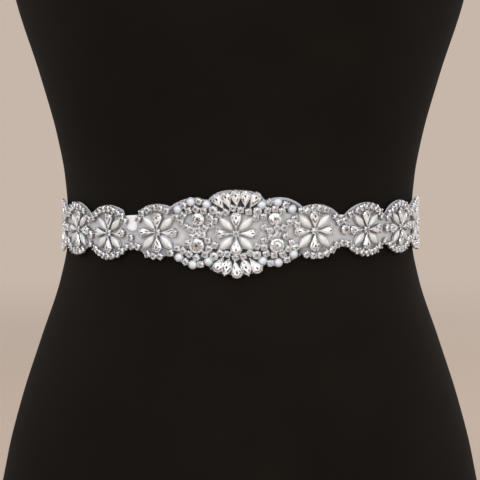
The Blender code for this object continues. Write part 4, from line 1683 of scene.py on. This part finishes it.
    def add_rim(self, stone: Stone, corners: int, rise: float, width: float, foot: float = 0.05) -> None:
        """Sets a thin silver wall round a stone, on a base painted darker as painted shade.

        Args:
            stone: The stone.
            corners: How many points the wall has round it.
            rise: The stone's height.
            width: The wall's width at its foot.
            foot: How bright the base's painted shade is, from 0 to 1.
        """
        ring = stone.outline(corners)
        top = rise * self.rim_height
        base = width + self.base_width
        # Each layer: how far out, how high, and the tone of the faces up to it, from painted shade at the
        # foot to lighter at the top edge.
        layers = (
            (base, 0.0, 0.0),
            (base - 0.05, 0.22, foot),
            (width, 0.30, foot + 0.2),
            (width * 0.6, top, 0.42),
            (-0.10, top - 0.03, 0.66),
            (-0.20, 0.3, 0.40),
        )
        points = [
            np.column_stack([self.offset(ring, out), np.full(len(ring), self.seat + up)])
            for out, up, _ in layers
        ]
        n = len(ring)
        faces = tube_faces(len(layers), n)
        tones = [tone for _, _, tone in layers[1:] for _ in range(n)]
        last = (len(layers) - 1) * n
        faces.append(tuple(range(n))[::-1])
        faces.append(tuple(last + j for j in range(n)))
        tones += [0.0, 0.0]
        self.silver.add(np.vstack(points), faces, tones=tones)

    def add_claw(self, spot: np.ndarray, out: np.ndarray, rise: float, size: float) -> None:
        """Bends one claw up a setting's wall and over the stone's edge.

        Args:
            spot: Where it stands on the stone's outline.
            out: The flat direction away from the stone.
            rise: The stone's height.
            size: The claw's size, 1 for a large stone's.
        """
        side = np.array([-out[1], out[0]])
        # Each row: how far out, how high, how narrow, and the tone of the faces up to it: painted shade low
        # on the claw, painted highlights on its bend and tip.
        bend = (
            (0.34, 0.0, 0.90, 0.10),
            (0.44, 0.40, 1.00, 0.50),
            (0.38, 0.72, 1.05, 1.00),
            (0.02, 0.92, 0.95, 1.00),
            (-0.38, 0.99, 0.60, 1.00),
        )
        points = []
        for reach, share, narrow, _ in bend:
            half = self.claw_width * size * narrow / 2
            thick = self.claw_thickness * size * (0.6 + 0.4 * narrow)
            lift = self.seat + rise * share
            for across, up in ((-half, 0.0), (-half * 0.6, thick), (half * 0.6, thick), (half, 0.0)):
                push = up * (1.0 if share < 0.5 else 0.35)
                flat = spot + out * (reach * size + push) + side * across
                points.append((*flat, lift + (up if share > 0.5 else 0.0)))
        faces: list[Face] = []
        tones: list[float] = []
        for i in range(len(bend) - 1):
            for j in range(4):
                k = (j + 1) % 4
                faces.append((i * 4 + j, (i + 1) * 4 + j, (i + 1) * 4 + k, i * 4 + k))
                tones.append(bend[i + 1][3])
        faces.append((0, 1, 2, 3))
        last = (len(bend) - 1) * 4
        faces.append((last + 3, last + 2, last + 1, last))
        # Painted shade under the claw's foot, a painted highlight on its tip.
        tones += [0.0, 0.9]
        self.silver.add(np.array(points), faces, tones=tones)

    def set_stone(
        self,
        stone: Stone,
        claws: Sequence[float],
        corners: int,
        rise: float,
        size: float,
        foot: float = 0.05,
    ) -> None:
        """Adds a stone's setting: its wall and its claws.

        Args:
            stone: The stone.
            claws: Where the claws stand, as shares of the way round the outline.
            corners: How many points the wall has round it.
            rise: The stone's height.
            size: The claws' size.
            foot: How bright the painted shade on the setting's base is, from 0 to 1.
        """
        self.add_rim(stone, corners, rise, self.rim_width * size, foot)
        ring = stone.outline(48)
        outer = self.offset(ring, 1.0)
        for share in claws:
            index = round(share * len(ring)) % len(ring)
            self.add_claw(ring[index], outer[index] - ring[index], rise, size)

    def add_large(self, stone: Stone) -> None:
        """Adds a large stone in its setting."""
        if stone.pearl and stone.cut is Cut.ROUND:
            self.add_pearl(stone, 24)
            # A low ring round the half pearl, painted darker at its foot as a painted shadow.
            self.add_rim(stone, 24, 1.0, 0.02, 0.3)
            return
        if stone.pearl:
            self.add_pearl(stone, 28)
            self.set_stone(stone, (0.0, 0.5), 28, 0.7 * self.rise, 0.6, 0.5)
            return
        if stone.length < self.small_stone:
            self.add_small(stone)
            return
        claws = {
            Cut.DROP: (0.03, 0.32, 0.62, 0.86),
            Cut.NAVETTE: (0.0, 0.25, 0.5, 0.75),
            Cut.ROUND: ROUND_CLAWS,
        }[stone.cut]
        self.add_crystal(stone, self.corners, self.rise)
        self.set_stone(stone, claws, self.corners, self.rise, 1.0)

    def add_small(self, stone: Stone) -> None:
        """Adds a small round stone in its four-clawed cup."""
        size = self.small_share * stone.length
        inner = Stone(Cut.ROUND, stone.along, stone.up, size, size, stone.turn)
        self.add_crystal(inner, self.small_corners, self.small_rise)
        self.set_stone(inner, ROUND_CLAWS, 12, self.small_rise, self.small_claw)

    def build(self, crystal: Material, pearl: Material, silver: Material) -> list[Piece]:
        """Sets every stone and builds the joined meshes.

        Args:
            crystal: The foiled glass.
            pearl: The pearl lustre.
            silver: The settings' plate.

        Returns:
            The pieces.
        """
        large = self.layout.large_stones()
        for stone in large:
            self.add_large(stone)
        small = self.layout.small_stones(large)
        for stone in small:
            self.add_small(stone)
        log.info("%d large and %d small stones", len(large), len(small))
        crystals = self.crystals.build("cut_crystals", self.shape.wrap)
        pearls = self.pearls.build("pearl_petals_and_half_pearls", self.shape.wrap)
        settings = self.silver.build("silver_settings", self.shape.wrap)
        finish_piece(crystals, crystal, smooth=False)
        finish_piece(pearls, pearl)
        finish_piece(settings, silver)
        return [crystals, pearls, settings]


@dataclass(frozen=True)
class Softbox:
    """A square studio lamp that looks at the sash. Metres and watts."""

    name: str
    place: tuple[float, float, float]
    size: float
    power: float
    colour: Colour = (1.0, 0.99, 0.985)


@dataclass
class Studio:
    """The floor, the lamps, the surroundings and the camera. Metres and degrees."""

    focus: tuple[float, float, float] = (0.0002, 0.0074, 0.2572)
    azimuth: float = 1.1
    elevation: float = 4.7
    distance: float = 1.3
    lens: float = 141.5
    floor_radius: float = 2.6
    floor_sides: int = 96
    backdrop: Colour = (0.571, 0.474, 0.402)
    surroundings: Colour = (0.47, 0.47, 0.48)
    softboxes: tuple[Softbox, ...] = (
        Softbox("key_softbox", (-1.1, -1.7, 1.3), 1.5, 21.0, (0.985, 0.985, 1.0)),
        Softbox("fill_softbox", (1.35, -1.6, 0.9), 1.3, 14.5, (1.0, 0.97, 0.93)),
        Softbox("top_softbox", (0.1, -0.5, 1.9), 1.4, 12.0),
        Softbox("low_softbox", (0.2, -1.9, 0.05), 1.0, 3.5),
        Softbox("left_rim_softbox", (-1.5, 0.7, 0.7), 0.6, 4.0),
        Softbox("right_rim_softbox", (1.5, 0.7, 0.7), 0.6, 5.0),
        Softbox("back_softbox", (0.9, 1.7, 1.5), 0.7, 9.0),
    )

    def build_floor(self, finish: Material) -> None:
        """The pale table top that the form stands on."""
        turns = np.linspace(0, 2 * math.pi, self.floor_sides, endpoint=False)
        rings = [0.0, *np.linspace(0.2, self.floor_radius, 12)]
        points = np.array(
            [(r * math.cos(t), r * math.sin(t), 0.0) for t in turns for r in rings]
        )
        heap = MeshHeap()
        heap.add(points, [face[::-1] for face in grid_faces(self.floor_sides, len(rings), True)])
        floor = heap.build("studio_floor")
        floor.data.materials.append(finish)

    def build_lamps(self) -> None:
        """The softboxes, each turned towards the sash."""
        for box in self.softboxes:
            lamp = bpy.data.lights.new(box.name, "AREA")
            lamp.shape = "SQUARE"
            lamp.size = box.size
            lamp.energy = box.power
            lamp.color = box.colour
            obj = bpy.data.objects.new(box.name, lamp)
            obj.location = box.place
            towards = Vector(self.focus) - Vector(box.place)
            obj.rotation_euler = towards.to_track_quat("-Z", "Y").to_euler()
            bpy.context.scene.collection.objects.link(obj)

    def build_world(self) -> None:
        """A warm plain backdrop, with a neutral room for the light that falls on the part."""
        world = bpy.data.worlds.new("studio_room")
        world.use_nodes = True
        tree = world.node_tree
        tree.nodes.clear()
        output = tree.nodes.new("ShaderNodeOutputWorld")
        mix = tree.nodes.new("ShaderNodeMixShader")
        seen = tree.nodes.new("ShaderNodeLightPath")
        shades = []
        for colour in (self.surroundings, self.backdrop):
            shade = tree.nodes.new("ShaderNodeBackground")
            shade.inputs["Color"].default_value = (*colour, 1.0)
            shades.append(shade)
        tree.links.new(seen.outputs["Is Camera Ray"], mix.inputs["Fac"])
        for socket, shade in zip((mix.inputs[1], mix.inputs[2]), shades):
            tree.links.new(shade.outputs["Background"], socket)
        tree.links.new(mix.outputs["Shader"], output.inputs["Surface"])
        bpy.context.scene.world = world

    def build_camera(self) -> None:
        """The camera at the photograph's angle."""
        turn, rise = math.radians(self.azimuth), math.radians(self.elevation)
        away = Vector(
            (math.sin(turn) * math.cos(rise), -math.cos(turn) * math.cos(rise), math.sin(rise))
        )
        data = bpy.data.cameras.new("studio_camera")
        data.lens = self.lens
        data.dof.use_dof = False
        camera = bpy.data.objects.new("studio_camera", data)
        camera.location = Vector(self.focus) + away * self.distance
        camera.rotation_euler = (-away).to_track_quat("-Z", "Y").to_euler()
        bpy.context.scene.collection.objects.link(camera)
        bpy.context.scene.camera = camera

    def build(self) -> None:
        """Sets the whole studio up."""
        self.build_floor(FloorFinish().build())
        self.build_lamps()
        self.build_world()
        self.build_camera()
        bpy.context.scene.view_settings.view_transform = "Standard"


def main() -> None:
    """Builds the dress form, the ribbon, the backing and its beadwork, and the studio."""
    logging.basicConfig(level=logging.INFO, format="%(name)s: %(message)s")
    shape = FormShape()
    layout = SashLayout()
    form = DressForm(shape)
    form.build_cover(JerseyFinish().build())
    form.build_cap(CapFinish().build())
    satin = SatinFinish().build()
    ribbon = Ribbon(shape)
    ribbon.build_waist(satin)
    ribbon.build_knot(satin)
    for side in (-1, 1):
        ribbon.build_tail(side, satin)
    beadwork = Beadwork(shape, layout)
    sewn_on = beadwork.build(CrystalFinish().build(), PearlFinish().build(), SilverFinish().build())
    backing = Backing(shape, layout)
    sewn_on.append(backing.build_edge(ThreadFinish().build()))
    backing.build_cloth(OrganzaFinish().build())
    Studio().build()


if __name__ == "__main__":
    main()
